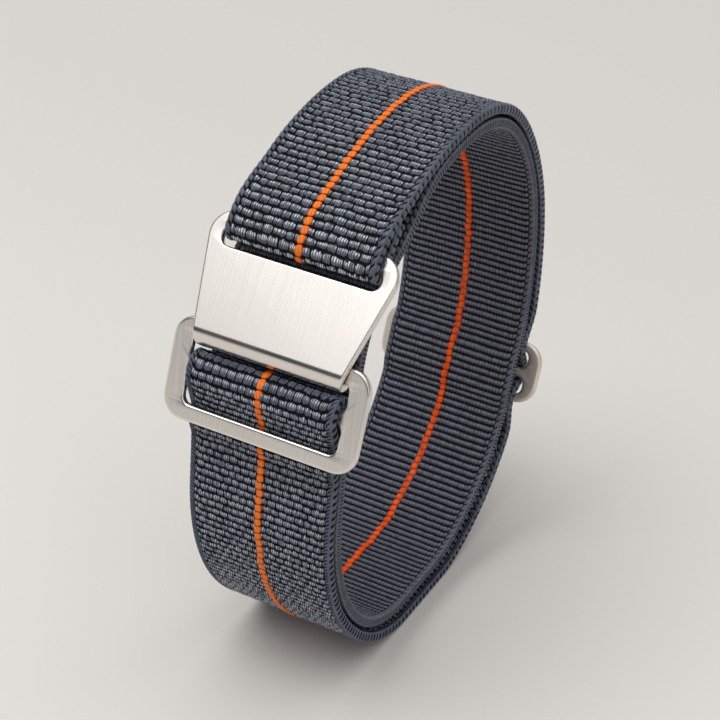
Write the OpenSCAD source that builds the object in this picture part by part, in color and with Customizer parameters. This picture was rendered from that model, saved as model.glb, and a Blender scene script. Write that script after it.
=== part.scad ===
// Stretch watch band: one length of elastic webbing in a closed wrist loop of two layers,
// with a hook clasp, a three-bar clasp frame and a slide adjuster.
// +Z is up, the webbing's width runs along X and the clasp faces -Y.
// The origin is under the middle of the band, on the surface that it stands on.

/* [Webbing] */
// Width of the webbing, which is the lug width of the watch that it fits
strap_width = 20; // [18:0.5:22]
// Thickness of one layer of webbing
web_thick = 1.4; // [1.2:0.05:1.5]
// Air between the two layers where they lie close, at the front and the top
layer_gap = 0.4; // [0.3:0.05:0.6]
// Further air where the outer layer hangs loose, at the lower back
loose_gap = 2.8; // [2.4:0.1:3]
// Running clearance between the webbing and a bar that it passes
web_clearance = 0.1; // [0.05:0.01:0.15]
// Width of the coloured warp stripe along the middle
stripe_width = 1.3; // [0.8:0.1:2]
// Depth of the stripe's yarns in the webbing's face
stripe_depth = 0.35; // [0.2:0.05:0.5]

/* [Wrist loop] */
// Radius of the loop's inner face behind the clasp
clasp_radius = 18; // [17:0.5:19]
// Straight length of the front below the clasp
front_length = 17; // [16:0.5:18]
// Radius of the inner face at the lower front
front_low_radius = 27; // [25:0.5:29]
// Radius of the inner face at the bottom
bottom_radius = 17; // [16:0.5:18]
// Flat length on which the band stands
rest_length = 8; // [6:0.5:10]
// Radius of the inner face at the back
back_radius = 44; // [42:0.5:46]
// Radius of the inner face at the upper back
back_top_radius = 29; // [28:0.5:30]
// Radius of the inner face at the upper front
top_front_radius = 35.5; // [34:0.5:37]

// Depth by which the free end dips towards the wrist behind the clasp
clasp_dip = 2.2; // [2.1:0.05:2.4]
// Depth by which the slide adjuster presses the inner layer towards the wrist
slide_push = 0.8; // [0.7:0.05:0.9]

/* [Clasp frame] */
// Width of the clasp frame across the webbing
frame_width = 26.1; // [25.5:0.1:27.5]
// Thickness of the clasp frame
frame_thick = 1; // [0.8:0.05:1.2]
// Width of the top bar, which the hook holds
top_bar = 1.9; // [1.6:0.1:2]
// Opening between the top bar and the middle bar
upper_window = 3.3; // [3.1:0.1:4]
// Width of the middle bar, which the webbing folds round
middle_bar = 1.7; // [1.4:0.1:2]
// Opening between the middle bar and the bottom bar
lower_window = 3.7; // [3.6:0.1:4.2]
// Width of the bottom bar, which lies over the webbing
bottom_bar = 2.1; // [1.8:0.1:2.4]
// Outer corner radius of the clasp frame
frame_corner = 2.8; // [2:0.1:3.4]
// Turn of the clasp frame's plane from the straight front of the band
frame_lean = 16; // [15:0.5:17]

/* [Hook clasp] */
// Length of the hook from its top edge to its nose
hook_length = 16.2; // [15.8:0.1:16.6]
// Width of the hook at its top edge
hook_top_width = 25.1; // [24.8:0.1:26]
// Width of the hook at its nose
hook_nose_width = 19.4; // [18.6:0.1:20]
// Sheet thickness of the hook
hook_thick = 1; // [0.9:0.05:1.1]
// Width of the strap bar, which the webbing folds round
strap_bar = 2.1; // [1.9:0.1:2.3]
// Opening of the strap slot along the hook
strap_slot = 2.2; // [2.2:0.1:2.7]
// Length of the lip behind the clasp frame's top bar
lip_length = 1.2; // [1:0.1:1.3]
// Play of the top bar inside the hook
hook_play = 0.25; // [0.2:0.01:0.3]
// Top corner radius of the hook
hook_corner = 3; // [2:0.1:3.4]
// Turn of the hook's plate from the clasp frame's plane
hook_turn = 20; // [19:0.5:21]

/* [Slide adjuster] */
// Width of the slide adjuster across the webbing
slide_width = 25; // [24.4:0.2:26]
// Thickness of the slide adjuster
slide_thick = 1.1; // [0.9:0.05:1.2]
// Width of its top and bottom bars
slide_bar = 1.3; // [1.2:0.05:1.6]
// Width of its middle bar
slide_middle = 1.4; // [1.2:0.05:1.6]
// Opening of each of its two slots
slide_slot = 2.5; // [2.4:0.05:2.8]
// Corner radius of the slide adjuster
slide_corner = 3; // [2:0.1:3.6]
// Clearance between the inner layer and what slides along it
slide_clearance = 0.2; // [0.15:0.01:0.25]
// Distance of the slide adjuster above the foot of the back arc
slide_height = 5; // [4.5:0.5:7]

/* [Fits] */
// Side clearance between the webbing's edge and a slot's end
side_clearance = 0.35; // [0.25:0.05:0.5]
// Corner radius of the windows and slots
slot_corner = 1; // [0.5:0.1:1.1]

/* [Hidden] */

web_colour = "#525c6e";
stripe_colour = "#f26a1b";
steel_colour = "#c9c5be";

// Directions in the side view, where a is the angle of the outward normal from +Y towards +Z
function outward(a) = [cos(a), sin(a)];
function along(a) = [-sin(a), cos(a)];
function unit(v) = v / norm(v);
function left_of(v) = [-v[1], v[0]];

// The inner face of the loop: rows of start angle, end angle, and radius or straight length.
// It starts above the clasp and runs down the front, along the bottom, up the back and over the top.
start_angle = 130;
front_angle = 178;
function row_step(r) = r[0] == r[1] ? r[2] * along(r[0]) : r[2] * (outward(r[1]) - outward(r[0]));
function row_length(r) = r[0] == r[1] ? r[2] : r[2] * (r[1] - r[0]) * PI / 180;
chosen_rows = [
    [start_angle, front_angle, clasp_radius],
    [front_angle, front_angle, front_length],
    [front_angle, 225, front_low_radius],
    [225, 270, bottom_radius],
    [270, 270, rest_length],
    [270, 290, bottom_radius],
    [335, 375, back_radius],
    [375, 410, back_top_radius],
    [450, 490, top_front_radius]];
function total(v, i = 0) = i < len(v) ? v[i] + total(v, i + 1) : [0, 0];
// Two radii close the loop: the lower back and the top
open_step = total([for (r = chosen_rows) row_step(r)]);
low_back_step = outward(335) - outward(290);
top_step = outward(450) - outward(410);
cross_step = low_back_step[0] * top_step[1] - low_back_step[1] * top_step[0];
low_back_radius = (top_step[0] * open_step[1] - top_step[1] * open_step[0]) / cross_step;
top_radius = (low_back_step[1] * open_step[0] - low_back_step[0] * open_step[1]) / cross_step;
rows = concat([for (i = [0:5]) chosen_rows[i]], [[290, 335, low_back_radius]],
    [chosen_rows[6], chosen_rows[7], [410, 450, top_radius], chosen_rows[8]]);
row_starts = [for (i = 0, p = [0, 0]; i < len(rows); p = p + row_step(rows[i]), i = i + 1) p];
row_lengths = [for (i = 0, s = 0; i <= len(rows); s = s + (i < len(rows) ? row_length(rows[i]) : 0), i = i + 1) s];
loop_length = row_lengths[len(rows)];

// A point at a distance s along the inner face and d outward from it, and the normal's angle there
function wrap(s) = s < 0 ? s + loop_length : s >= loop_length ? s - loop_length : s;
function row_of(s, i = 0) = i == len(rows) - 1 || s < row_lengths[i + 1] ? i : row_of(s, i + 1);
function angle_in(r, s) = r[0] == r[1] ? r[0] : r[0] + s / r[2] * 180 / PI;
function angle_at(s) = let(w = wrap(s), i = row_of(w)) angle_in(rows[i], w - row_lengths[i]);
function loop_point(s, d) = let(
        w = wrap(s), i = row_of(w), r = rows[i], e = w - row_lengths[i], a = angle_in(r, e))
    row_starts[i] + (r[0] == r[1] ? e * along(a) : r[2] * (outward(a) - outward(r[0]))) + d * outward(a);

// Middle of each layer, outward from the inner face. The gap grows towards the lower back,
// and the inner layer's free end dips behind the clasp.
loose_angle = 310;
function loose(a) = let(d = min(abs(a - loose_angle), 90)) loose_gap * pow(cos(d), 2);
function outer_layer(s) = 1.5 * web_thick + layer_gap + loose(angle_at(s));
function eased(u) = let(c = min(max(u, 0), 1)) c * c * (3 - 2 * c);
dip_start = -clasp_radius * 8 / 9;
dip_end = -clasp_radius * 2 / 9;
// The inner layer's raised patch under the slide adjuster: half its flat top and the run of each edge
slide_half = slide_middle / 2 + slide_slot + slide_bar;
push_half = slide_half / 2;
push_ease = 2 * web_thick;
function pushed(s) = slide_push * eased((push_half + push_ease - abs(s - slide_s)) / push_ease);
function inner_layer(s) = web_thick / 2 - clasp_dip * eased((s - dip_start) / (dip_end - dip_start)) - pushed(s);

// Clasp frame: origin in the middle of its middle bar, x down the frame and y outward
frame_angle = front_angle - frame_lean;
bar_drop = 1.3;
clasp_s = (front_angle - start_angle) * clasp_radius * PI / 180 + bar_drop;
bar_round = frame_thick / 2;
frame_over = bar_round + web_clearance + web_thick / 2;
frame_under = bar_round + 0.3 + web_thick / 2;
fold_slack = 0.2;
return_layer = web_thick / 2 + 0.85;
frame_origin = loop_point(clasp_s, return_layer + frame_over);
function frame_point(x, y) = frame_origin + x * along(frame_angle) + y * outward(frame_angle);
frame_top = -middle_bar / 2 - upper_window - top_bar;
frame_bottom = middle_bar / 2 + lower_window + bottom_bar;

// Hook: origin in the middle of the clasp frame's top bar, x down the hook and y outward
hook_origin = frame_point(frame_top + top_bar / 2, 0);
hook_angle = frame_angle - hook_turn;
function hook_point(x, y) = hook_origin + x * along(hook_angle) + y * outward(hook_angle);
bar_reach = top_bar / 2 - bar_round;
hook_inner = bar_round + bar_reach * sin(hook_turn) + hook_play;
hook_bend = bar_reach * cos(hook_turn) + bar_round + hook_play - hook_inner + 0.1;
hook_nose = hook_bend + hook_inner + hook_thick;
hook_top = hook_nose - hook_length;
hook_mid = hook_inner + hook_thick / 2;
hook_round = hook_thick / 2;
strap_over = hook_round + web_clearance + web_thick / 2;

// Slide adjuster: origin in its middle, x up the back and y outward
slide_s = row_lengths[7] + slide_height;
slide_mid = 2 * web_thick + slide_clearance + web_clearance + slide_thick / 2;
slide_angle = angle_at(slide_s);
slide_origin = loop_point(slide_s, slide_mid);
function slide_point(x, y) = slide_origin + x * along(slide_angle) + y * outward(slide_angle);
slide_round = slide_thick / 2;
slide_over = slide_round + web_clearance + web_thick / 2;
slide_reach = 2 * slide_half;

// Smooth curve between two points with given directions
function bend_at(p, u) = pow(1 - u, 3) * p[0] + 3 * u * pow(1 - u, 2) * p[1]
    + 3 * u * u * (1 - u) * p[2] + pow(u, 3) * p[3];
function bend_ways(p, u) = unit(3 * pow(1 - u, 2) * (p[1] - p[0]) + 6 * u * (1 - u) * (p[2] - p[1])
    + 3 * u * u * (p[3] - p[2]));
function bend(p0, w0, p1, w1, k = 0.36) = let(h = k * norm(p1 - p0)) [p0, p0 + h * w0, p1 - h * w1, p1];
function bend_points(p, n) = [for (i = [0:n]) bend_at(p, i / n)];
// Points along the outer or the inner layer between two distances, in steps of about 2.2 mm
function steps(s0, s1) = let(n = max(2, ceil(abs(s1 - s0) / 2.2))) [for (i = [0:n]) s0 + (s1 - s0) * i / n];
function way(s) = along(angle_at(s));
// The outer layer rests flat where it would otherwise hang below its lowest straight run
rest_s = row_lengths[4] + rest_length / 2;
rest_level = loop_point(rest_s, outer_layer(rest_s))[1];
function outer_point(s) = let(p = loop_point(s, outer_layer(s))) [p[0], max(p[1], rest_level)];
function outer_points(s0, s1) = [for (s = steps(s0, s1)) outer_point(s)];
// Arc points round a centre
function arc_points(c, r, a0, a1, n = 6) = [for (i = [0:n]) let(a = a0 + (a1 - a0) * i / n) c + r * [cos(a), sin(a)]];
function clean(v) = [for (i = [0:len(v) - 1]) if (i == 0 || norm(v[i] - v[i - 1]) > 0.02) v[i]];

// Webbing paths, from the hook fold's tail to the free end behind the clasp.
// Each list holds the middle line; the way at each end is given apart, so that neighbours meet face to face.
fold_s = -clasp_radius / 2;
fold_cut = loop_point(fold_s, outer_layer(fold_s) + 0.1);
fold_way = -way(fold_s);
strap_centre = hook_top + strap_bar - hook_round;
strap_leg = bend(hook_point(hook_top + hook_round, hook_mid + strap_over), -along(hook_angle), fold_cut, fold_way);
tail_at = 0.6;
tail_end = bend_at(strap_leg, tail_at) - (web_thick + 0.02) * left_of(bend_ways(strap_leg, tail_at));
tail_way = -bend_ways(strap_leg, tail_at);
hook_fold_path = clean(concat(
    bend_points(bend(tail_end, tail_way, hook_point(hook_top + hook_round, hook_mid - strap_over), along(hook_angle)), 4),
    [for (a = [-90:15:90]) hook_point(strap_centre + strap_over * cos(a), hook_mid + strap_over * sin(a))],
    bend_points(strap_leg, 6)));

top_s = -clasp_radius;
upper_end = slide_s + slide_reach + 0.6 * strap_width;
upper_s = slide_s + slide_reach;
lower_s = slide_s - slide_reach;
lower_end = slide_s - slide_reach - strap_width / 2;
outer_top_path = clean(concat(
    bend_points(bend(fold_cut, fold_way, loop_point(top_s, outer_layer(top_s)), -way(top_s)), 6),
    outer_points(loop_length + top_s, upper_end)));
back_upper_path = outer_points(upper_end, upper_s);
back_lower_path = outer_points(lower_s, lower_end);

// Weave through the slide adjuster, run downwards: inside the top bar, over the middle bar, inside the bottom bar
slide_gap = slide_slot + 2 * slide_round;
slide_slope = asin(2 * slide_over / slide_gap);
function half_weave(m) = [
    for (i = [0:5]) let(a = slide_slope * i / 5)
        [m * (slide_middle / 2 + slide_slot + slide_round - slide_over * sin(a)), -slide_over * cos(a)],
    for (i = [5:-1:0]) let(a = slide_slope * i / 5)
        [m * (slide_middle / 2 - slide_round + slide_over * sin(a)), slide_over * cos(a)]];
weave = concat(half_weave(1), [for (i = [11:-1:0]) half_weave(-1)[i]]);
slide_weave_path = clean(concat(
    bend_points(bend(loop_point(upper_s, outer_layer(upper_s)), -way(upper_s),
        slide_point(slide_half - slide_round, -slide_over), -along(slide_angle)), 4),
    [for (p = weave) slide_point(p[0], p[1])],
    bend_points(bend(slide_point(-slide_half + slide_round, -slide_over), -along(slide_angle),
        loop_point(lower_s, outer_layer(lower_s)), -way(lower_s)), 4)));

// Cut below the clasp frame, where the frame's fold meets the rest of the loop
cut_s = clasp_s + frame_bottom + 2.5;
outer_bottom_path = outer_points(lower_end, cut_s);
frame_gap = lower_window + 2 * bar_round;
frame_slope = asin((frame_over + frame_under) / frame_gap);
return_s = clasp_s + frame_bottom;
frame_fold_path = clean(concat(
    bend_points(bend(loop_point(cut_s, outer_layer(cut_s)), -way(cut_s),
        frame_point(frame_bottom - bar_round, -frame_under), -along(frame_angle)), 3),
    [for (i = [0:5]) let(a = frame_slope * i / 5)
        frame_point(middle_bar / 2 + lower_window + bar_round - frame_under * sin(a), -frame_under * cos(a))],
    [for (i = [5:-1:0]) let(a = frame_slope * i / 5)
        frame_point(middle_bar / 2 - bar_round + frame_over * sin(a), frame_over * cos(a))],
    [for (a = [90:15:270]) frame_point(-middle_bar / 2 + bar_round + (frame_over + fold_slack / 2) * cos(a),
        -fold_slack / 2 + (frame_over + fold_slack / 2) * sin(a))],
    bend_points(bend(frame_point(0, -frame_over - fold_slack), along(frame_angle),
        loop_point(return_s, web_thick / 2), way(return_s)), 6),
    [for (s = steps(return_s, cut_s)) loop_point(s, web_thick / 2)]));
tongue_s = clasp_s + 1;
push_from = slide_s - push_half - push_ease;
push_to = slide_s + push_half + push_ease;
inner_path = concat(
    [for (s = steps(cut_s, push_from)) loop_point(s, web_thick / 2)],
    [for (i = [1:21]) let(s = push_from + (push_to - push_from) * i / 22) loop_point(s, web_thick / 2 - pushed(s))],
    [for (s = steps(push_to, loop_length + dip_start)) loop_point(s, web_thick / 2)],
    [for (s = steps(dip_start, tongue_s)) if (s > dip_start + 0.1) loop_point(s, inner_layer(s))]);

// Outline of a strip along a path, between two offsets to its left, with the ways at its two ends
function way_at(v, i, w0, w1) = i == 0 ? w0 : i == len(v) - 1 ? w1 : unit(unit(v[i + 1] - v[i]) + unit(v[i] - v[i - 1]));
function strip(v, w0, w1, low, high) = concat(
    [for (i = [0:len(v) - 1]) v[i] + low * left_of(way_at(v, i, w0, w1))],
    [for (i = [len(v) - 1:-1:0]) v[i] + high * left_of(way_at(v, i, w0, w1))]);

hook_fold_ways = [tail_way, fold_way];
outer_top_ways = [fold_way, -way(upper_end)];
back_upper_ways = [-way(upper_end), -way(upper_s)];
slide_weave_ways = [-way(upper_s), -way(lower_s)];
back_lower_ways = [-way(lower_s), -way(lower_end)];
outer_bottom_ways = [-way(lower_end), -way(cut_s)];
frame_fold_ways = [-way(cut_s), way(cut_s)];
inner_ways = [way(cut_s), way(tongue_s)];

// Side outlines of the hardware
hook_side = concat(
    arc_points([hook_top + hook_round, hook_mid], hook_round, 270, 90, 8),
    arc_points([hook_bend, 0], hook_inner + hook_thick, 90, -90, 12),
    arc_points([hook_bend - lip_length, -hook_mid], hook_round, -90, -270, 8),
    arc_points([hook_bend, 0], hook_inner, -90, 90, 10));
function stadium(x0, x1, r, n = 8) = concat(arc_points([x1 - r, 0], r, -90, 90, n), arc_points([x0 + r, 0], r, 90, 270, n));
// Opening between two rounded bars, seen from the side, running past both faces
function window_side(x0, x1, r) = concat(
    [[x0 - r, -r - 1], [x1 + r, -r - 1]],
    arc_points([x1 + r, 0], r, -90, -270, 8),
    [[x1 + r, r + 1], [x0 - r, r + 1]],
    arc_points([x0 - r, 0], r, 90, -90, 8));

// Everything moves together so that the band stands on z = 0 with its middle over the origin
placed_sides = concat(
    strip(hook_fold_path, hook_fold_ways[0], hook_fold_ways[1], -web_thick / 2, web_thick / 2),
    strip(frame_fold_path, frame_fold_ways[0], frame_fold_ways[1], -web_thick / 2, web_thick / 2),
    strip(slide_weave_path, slide_weave_ways[0], slide_weave_ways[1], -web_thick / 2, web_thick / 2),
    strip(outer_top_path, outer_top_ways[0], outer_top_ways[1], -web_thick / 2, web_thick / 2),
    strip(outer_bottom_path, outer_bottom_ways[0], outer_bottom_ways[1], -web_thick / 2, web_thick / 2),
    [for (p = hook_side) hook_point(p[0], p[1])],
    [for (p = stadium(frame_top, frame_bottom, bar_round)) frame_point(p[0], p[1])],
    [for (p = stadium(-slide_half, slide_half, slide_round)) slide_point(p[0], p[1])]);
base = [
    -(max([for (p = placed_sides) p[0]]) + min([for (p = placed_sides) p[0]])) / 2,
    -min([for (p = placed_sides) p[1]])];

// Extrudes a side outline across the band, centred on x = 0
module across(width) {
    rotate([90, 0, 90])
        linear_extrude(height = width, center = true)
            children();
}

// Puts a piece drawn flat, x across and y up from its face, at an origin and angle of the side view.
// Drawn: X across the band, Y down the piece, Z outward.
module seated(origin, angle) {
    translate([0, base[0] + origin[0], base[1] + origin[1]])
        rotate([angle, 0, 0])
            multmatrix([[1, 0, 0, 0], [0, 0, 1, 0], [0, 1, 0, 0], [0, 0, 0, 1]])
                children();
}

module side_strip(path, ways, low, high, width) {
    translate([0, base[0], base[1]])
        across(width)
            polygon(strip(path, ways[0], ways[1], low, high));
}

module webbing(path, ways) {
    color(web_colour)
        difference() {
            side_strip(path, ways, -web_thick / 2, web_thick / 2, strap_width);
            side_strip(path, ways, web_thick / 2 - stripe_depth, web_thick / 2 + 0.2, stripe_width);
        }
}

module stripe(path, ways) {
    color(stripe_colour)
        side_strip(path, ways, web_thick / 2 - stripe_depth, web_thick / 2, stripe_width);
}

// Rounded rectangle from y0 to y1, and a trapezoid that is wide at y0
function rounded(w, y0, y1, r) = concat(
    arc_points([w / 2 - r, y0 + r], r, -90, 0), arc_points([w / 2 - r, y1 - r], r, 0, 90),
    arc_points([-w / 2 + r, y1 - r], r, 90, 180), arc_points([-w / 2 + r, y0 + r], r, 180, 270));
module flat_plate(points, thick) {
    translate([0, 0, -thick])
        linear_extrude(height = 2 * thick)
            polygon(points);
}
// Side outline of a piece in its own frame, where y of the outline is outward
module own_side(width) {
    multmatrix([[0, 0, 1, 0], [1, 0, 0, 0], [0, 1, 0, 0], [0, 0, 0, 1]])
        linear_extrude(height = width, center = true)
            children();
}
module window(x0, x1, r, width, corner) {
    intersection() {
        own_side(width) polygon(window_side(x0, x1, r));
        translate([0, 0, -3]) linear_extrude(height = 6) polygon(rounded(width, x0 - r, x1 + r, min(corner + r, (x1 - x0) / 2 + r)));
    }
}

module clasp_frame() {
    color(steel_colour)
        seated(frame_origin, frame_angle)
            difference() {
                intersection() {
                    flat_plate(rounded(frame_width, frame_top, frame_bottom, frame_corner), frame_thick);
                    own_side(frame_width) polygon(stadium(frame_top, frame_bottom, bar_round));
                }
                window(frame_top + top_bar, -middle_bar / 2, bar_round, strap_width + 2 * side_clearance, slot_corner);
                window(middle_bar / 2, middle_bar / 2 + lower_window, bar_round, strap_width + 2 * side_clearance, slot_corner);
            }
}

hook_outline = concat(
    arc_points([hook_top_width / 2 - hook_corner - 0.2, hook_top + hook_corner], hook_corner, -90, 10),
    [[hook_nose_width / 2, hook_nose + 0.5], [-hook_nose_width / 2, hook_nose + 0.5]],
    arc_points([-hook_top_width / 2 + hook_corner + 0.2, hook_top + hook_corner], hook_corner, 170, 270));
module hook_clasp() {
    color(steel_colour)
        seated(hook_origin, hook_angle)
            difference() {
                intersection() {
                    own_side(hook_top_width) polygon(hook_side);
                    translate([0, 0, -4]) linear_extrude(height = 8) polygon(hook_outline);
                }
                translate([0, 0, hook_mid])
                    window(hook_top + strap_bar, hook_top + strap_bar + strap_slot, hook_round,
                        strap_width + 2 * side_clearance, slot_corner);
            }
}

module slide_adjuster() {
    color(steel_colour)
        seated(slide_origin, slide_angle)
            difference() {
                intersection() {
                    flat_plate(rounded(slide_width, -slide_half, slide_half, slide_corner), slide_thick);
                    own_side(slide_width) polygon(stadium(-slide_half, slide_half, slide_round));
                }
                window(slide_middle / 2, slide_middle / 2 + slide_slot, slide_round, strap_width + 2 * side_clearance, slot_corner);
                window(-slide_middle / 2 - slide_slot, -slide_middle / 2, slide_round, strap_width + 2 * side_clearance, slot_corner);
            }
}

webbing(outer_top_path, outer_top_ways);  // webbing_outer_top
webbing(back_upper_path, back_upper_ways);  // webbing_back_upper
webbing(back_lower_path, back_lower_ways);  // webbing_back_lower
webbing(outer_bottom_path, outer_bottom_ways);  // webbing_outer_bottom
webbing(inner_path, inner_ways);  // webbing_inner
webbing(slide_weave_path, slide_weave_ways);  // webbing_slider_weave
webbing(frame_fold_path, frame_fold_ways);  // webbing_frame_fold
webbing(hook_fold_path, hook_fold_ways);  // webbing_hook_fold
stripe(outer_top_path, outer_top_ways);  // stripe_outer_top
stripe(back_upper_path, back_upper_ways);  // stripe_back_upper
stripe(back_lower_path, back_lower_ways);  // stripe_back_lower
stripe(outer_bottom_path, outer_bottom_ways);  // stripe_outer_bottom
stripe(inner_path, inner_ways);  // stripe_inner
stripe(slide_weave_path, slide_weave_ways);  // stripe_slider_weave
stripe(frame_fold_path, frame_fold_ways);  // stripe_frame_fold
stripe(hook_fold_path, hook_fold_ways);  // stripe_hook_fold
clasp_frame();
hook_clasp();
slide_adjuster();
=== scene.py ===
"""Stretch watch band: elastic webbing in a closed wrist loop, with a hook clasp, a clasp frame and a slide.

The webbing is one long strip. A side-view route carries it, and geometry node trees weave it along
that route. Sizes are in millimetres until a piece is made, and every Blender object is in metres.
"""

from __future__ import annotations

import cmath
import logging
import math
from bisect import bisect_right
from collections.abc import Callable
from dataclasses import asdict, dataclass, fields
from enum import Enum
from types import SimpleNamespace

import bmesh
import bpy
from mathutils import Matrix, Vector

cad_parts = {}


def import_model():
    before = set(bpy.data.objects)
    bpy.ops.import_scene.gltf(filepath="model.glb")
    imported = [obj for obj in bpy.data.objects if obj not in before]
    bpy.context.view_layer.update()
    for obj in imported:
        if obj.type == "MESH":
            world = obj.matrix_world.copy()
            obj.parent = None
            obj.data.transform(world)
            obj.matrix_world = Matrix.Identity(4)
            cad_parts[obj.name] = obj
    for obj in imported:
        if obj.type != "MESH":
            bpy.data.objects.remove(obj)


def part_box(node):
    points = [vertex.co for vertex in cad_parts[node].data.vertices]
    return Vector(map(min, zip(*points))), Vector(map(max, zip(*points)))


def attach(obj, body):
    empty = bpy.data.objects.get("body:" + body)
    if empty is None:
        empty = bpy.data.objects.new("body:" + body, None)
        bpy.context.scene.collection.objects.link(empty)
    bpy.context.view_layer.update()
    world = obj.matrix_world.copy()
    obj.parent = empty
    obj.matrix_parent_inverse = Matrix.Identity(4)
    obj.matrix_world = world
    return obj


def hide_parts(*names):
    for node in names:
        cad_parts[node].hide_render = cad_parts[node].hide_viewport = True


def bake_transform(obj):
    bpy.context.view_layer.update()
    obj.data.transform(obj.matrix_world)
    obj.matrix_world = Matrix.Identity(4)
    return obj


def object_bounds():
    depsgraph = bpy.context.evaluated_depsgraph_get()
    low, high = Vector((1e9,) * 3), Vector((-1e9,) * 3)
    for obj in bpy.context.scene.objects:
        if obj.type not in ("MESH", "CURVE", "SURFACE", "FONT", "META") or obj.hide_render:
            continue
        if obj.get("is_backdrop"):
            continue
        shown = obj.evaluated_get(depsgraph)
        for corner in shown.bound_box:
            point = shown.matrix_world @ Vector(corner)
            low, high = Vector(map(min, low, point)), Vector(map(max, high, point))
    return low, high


log = logging.getLogger("watch_band")

MM = 0.001

# A place in the side view, or on a flat plate: the first coordinate is real, the second imaginary
Point = complex
Socket = bpy.types.NodeSocket
Inputs = dict[int | str, object]


class Body(str, Enum):
    """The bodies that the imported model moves."""

    BAND = "band"
    HOOK = "hook"
    FRAME = "frame"
    SLIDER = "slider"


class Slot(str, Enum):
    """The record's material slots."""

    WEBBING = "webbing"
    STRIPE = "stripe"
    HARDWARE = "hardware"


class Weave(Enum):
    """How tightly the face of the webbing is packed in one run of it."""

    TOP = "top"
    FRONT = "front"
    INNER = "inner"


def linear(code: str) -> tuple[float, ...]:
    """Turns an sRGB hex colour into the linear colour that shaders use.

    Args:
        code: Colour as "#rrggbb".

    Returns:
        Red, green, blue and an alpha of 1, each from 0 to 1.
    """
    channels = [int(code[i : i + 2], 16) / 255 for i in (1, 3, 5)]
    return (*(c / 12.92 if c <= 0.04045 else ((c + 0.055) / 1.055) ** 2.4 for c in channels), 1.0)


def linked(name: str, data: bpy.types.ID) -> bpy.types.Object:
    """Makes an object and links it to the scene.

    Args:
        name: Name of the object.
        data: Its mesh, curve, lamp or camera.

    Returns:
        The object at the origin.
    """
    item = bpy.data.objects.new(name, data)
    bpy.context.scene.collection.objects.link(item)
    return item


def evaluated(item: bpy.types.Object) -> bpy.types.Mesh:
    """Takes the mesh of an object as its modifiers and curve settings leave it.

    Args:
        item: The object.

    Returns:
        A new mesh.
    """
    bpy.context.view_layer.update()
    depsgraph = bpy.context.evaluated_depsgraph_get()
    return bpy.data.meshes.new_from_object(item.evaluated_get(depsgraph))


def add_spline(data: bpy.types.Curve, places: list[tuple[float, float, float]], closed: bool) -> None:
    """Adds a line of straight steps to a curve.

    Args:
        data: The curve.
        places: Points of the line.
        closed: Whether its end joins its start.
    """
    spline = data.splines.new("POLY")
    spline.points.add(len(places) - 1)
    for target, place in zip(spline.points, places):
        target.co = (*place, 1.0)
    spline.use_cyclic_u = closed


def joined(operation: str) -> Callable[[Value, Number], Value]:
    """Makes the method of Value that joins it to a second value with a math node.

    Args:
        operation: Name of the math node's operation.

    Returns:
        The method.
    """

    def method(first: Value, second: Number) -> Value:
        """Adds the math node."""
        return first.writer.math(operation, first, second)

    return method


class Value:
    """An output of a node. Arithmetic on it adds math nodes to its tree."""

    def __init__(self, writer: TreeWriter, socket: Socket) -> None:
        """Keeps an output and the writer of its tree."""
        self.writer = writer
        self.socket = socket

    __add__ = joined("ADD")
    __sub__ = joined("SUBTRACT")
    __mul__ = joined("MULTIPLY")
    __truediv__ = joined("DIVIDE")
    __mod__ = joined("FLOORED_MODULO")
    __pow__ = joined("POWER")

    def __rsub__(self, other: float) -> Value:
        """A number less this value."""
        return self.writer.math("SUBTRACT", other, self)

    def __floordiv__(self, other: Number) -> Value:
        """How many whole times another value goes into this one."""
        return self.writer.math("FLOOR", self / other)

    def __abs__(self) -> Value:
        """This value without its sign."""
        return self.writer.math("ABSOLUTE", self)


Number = Value | float


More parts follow.
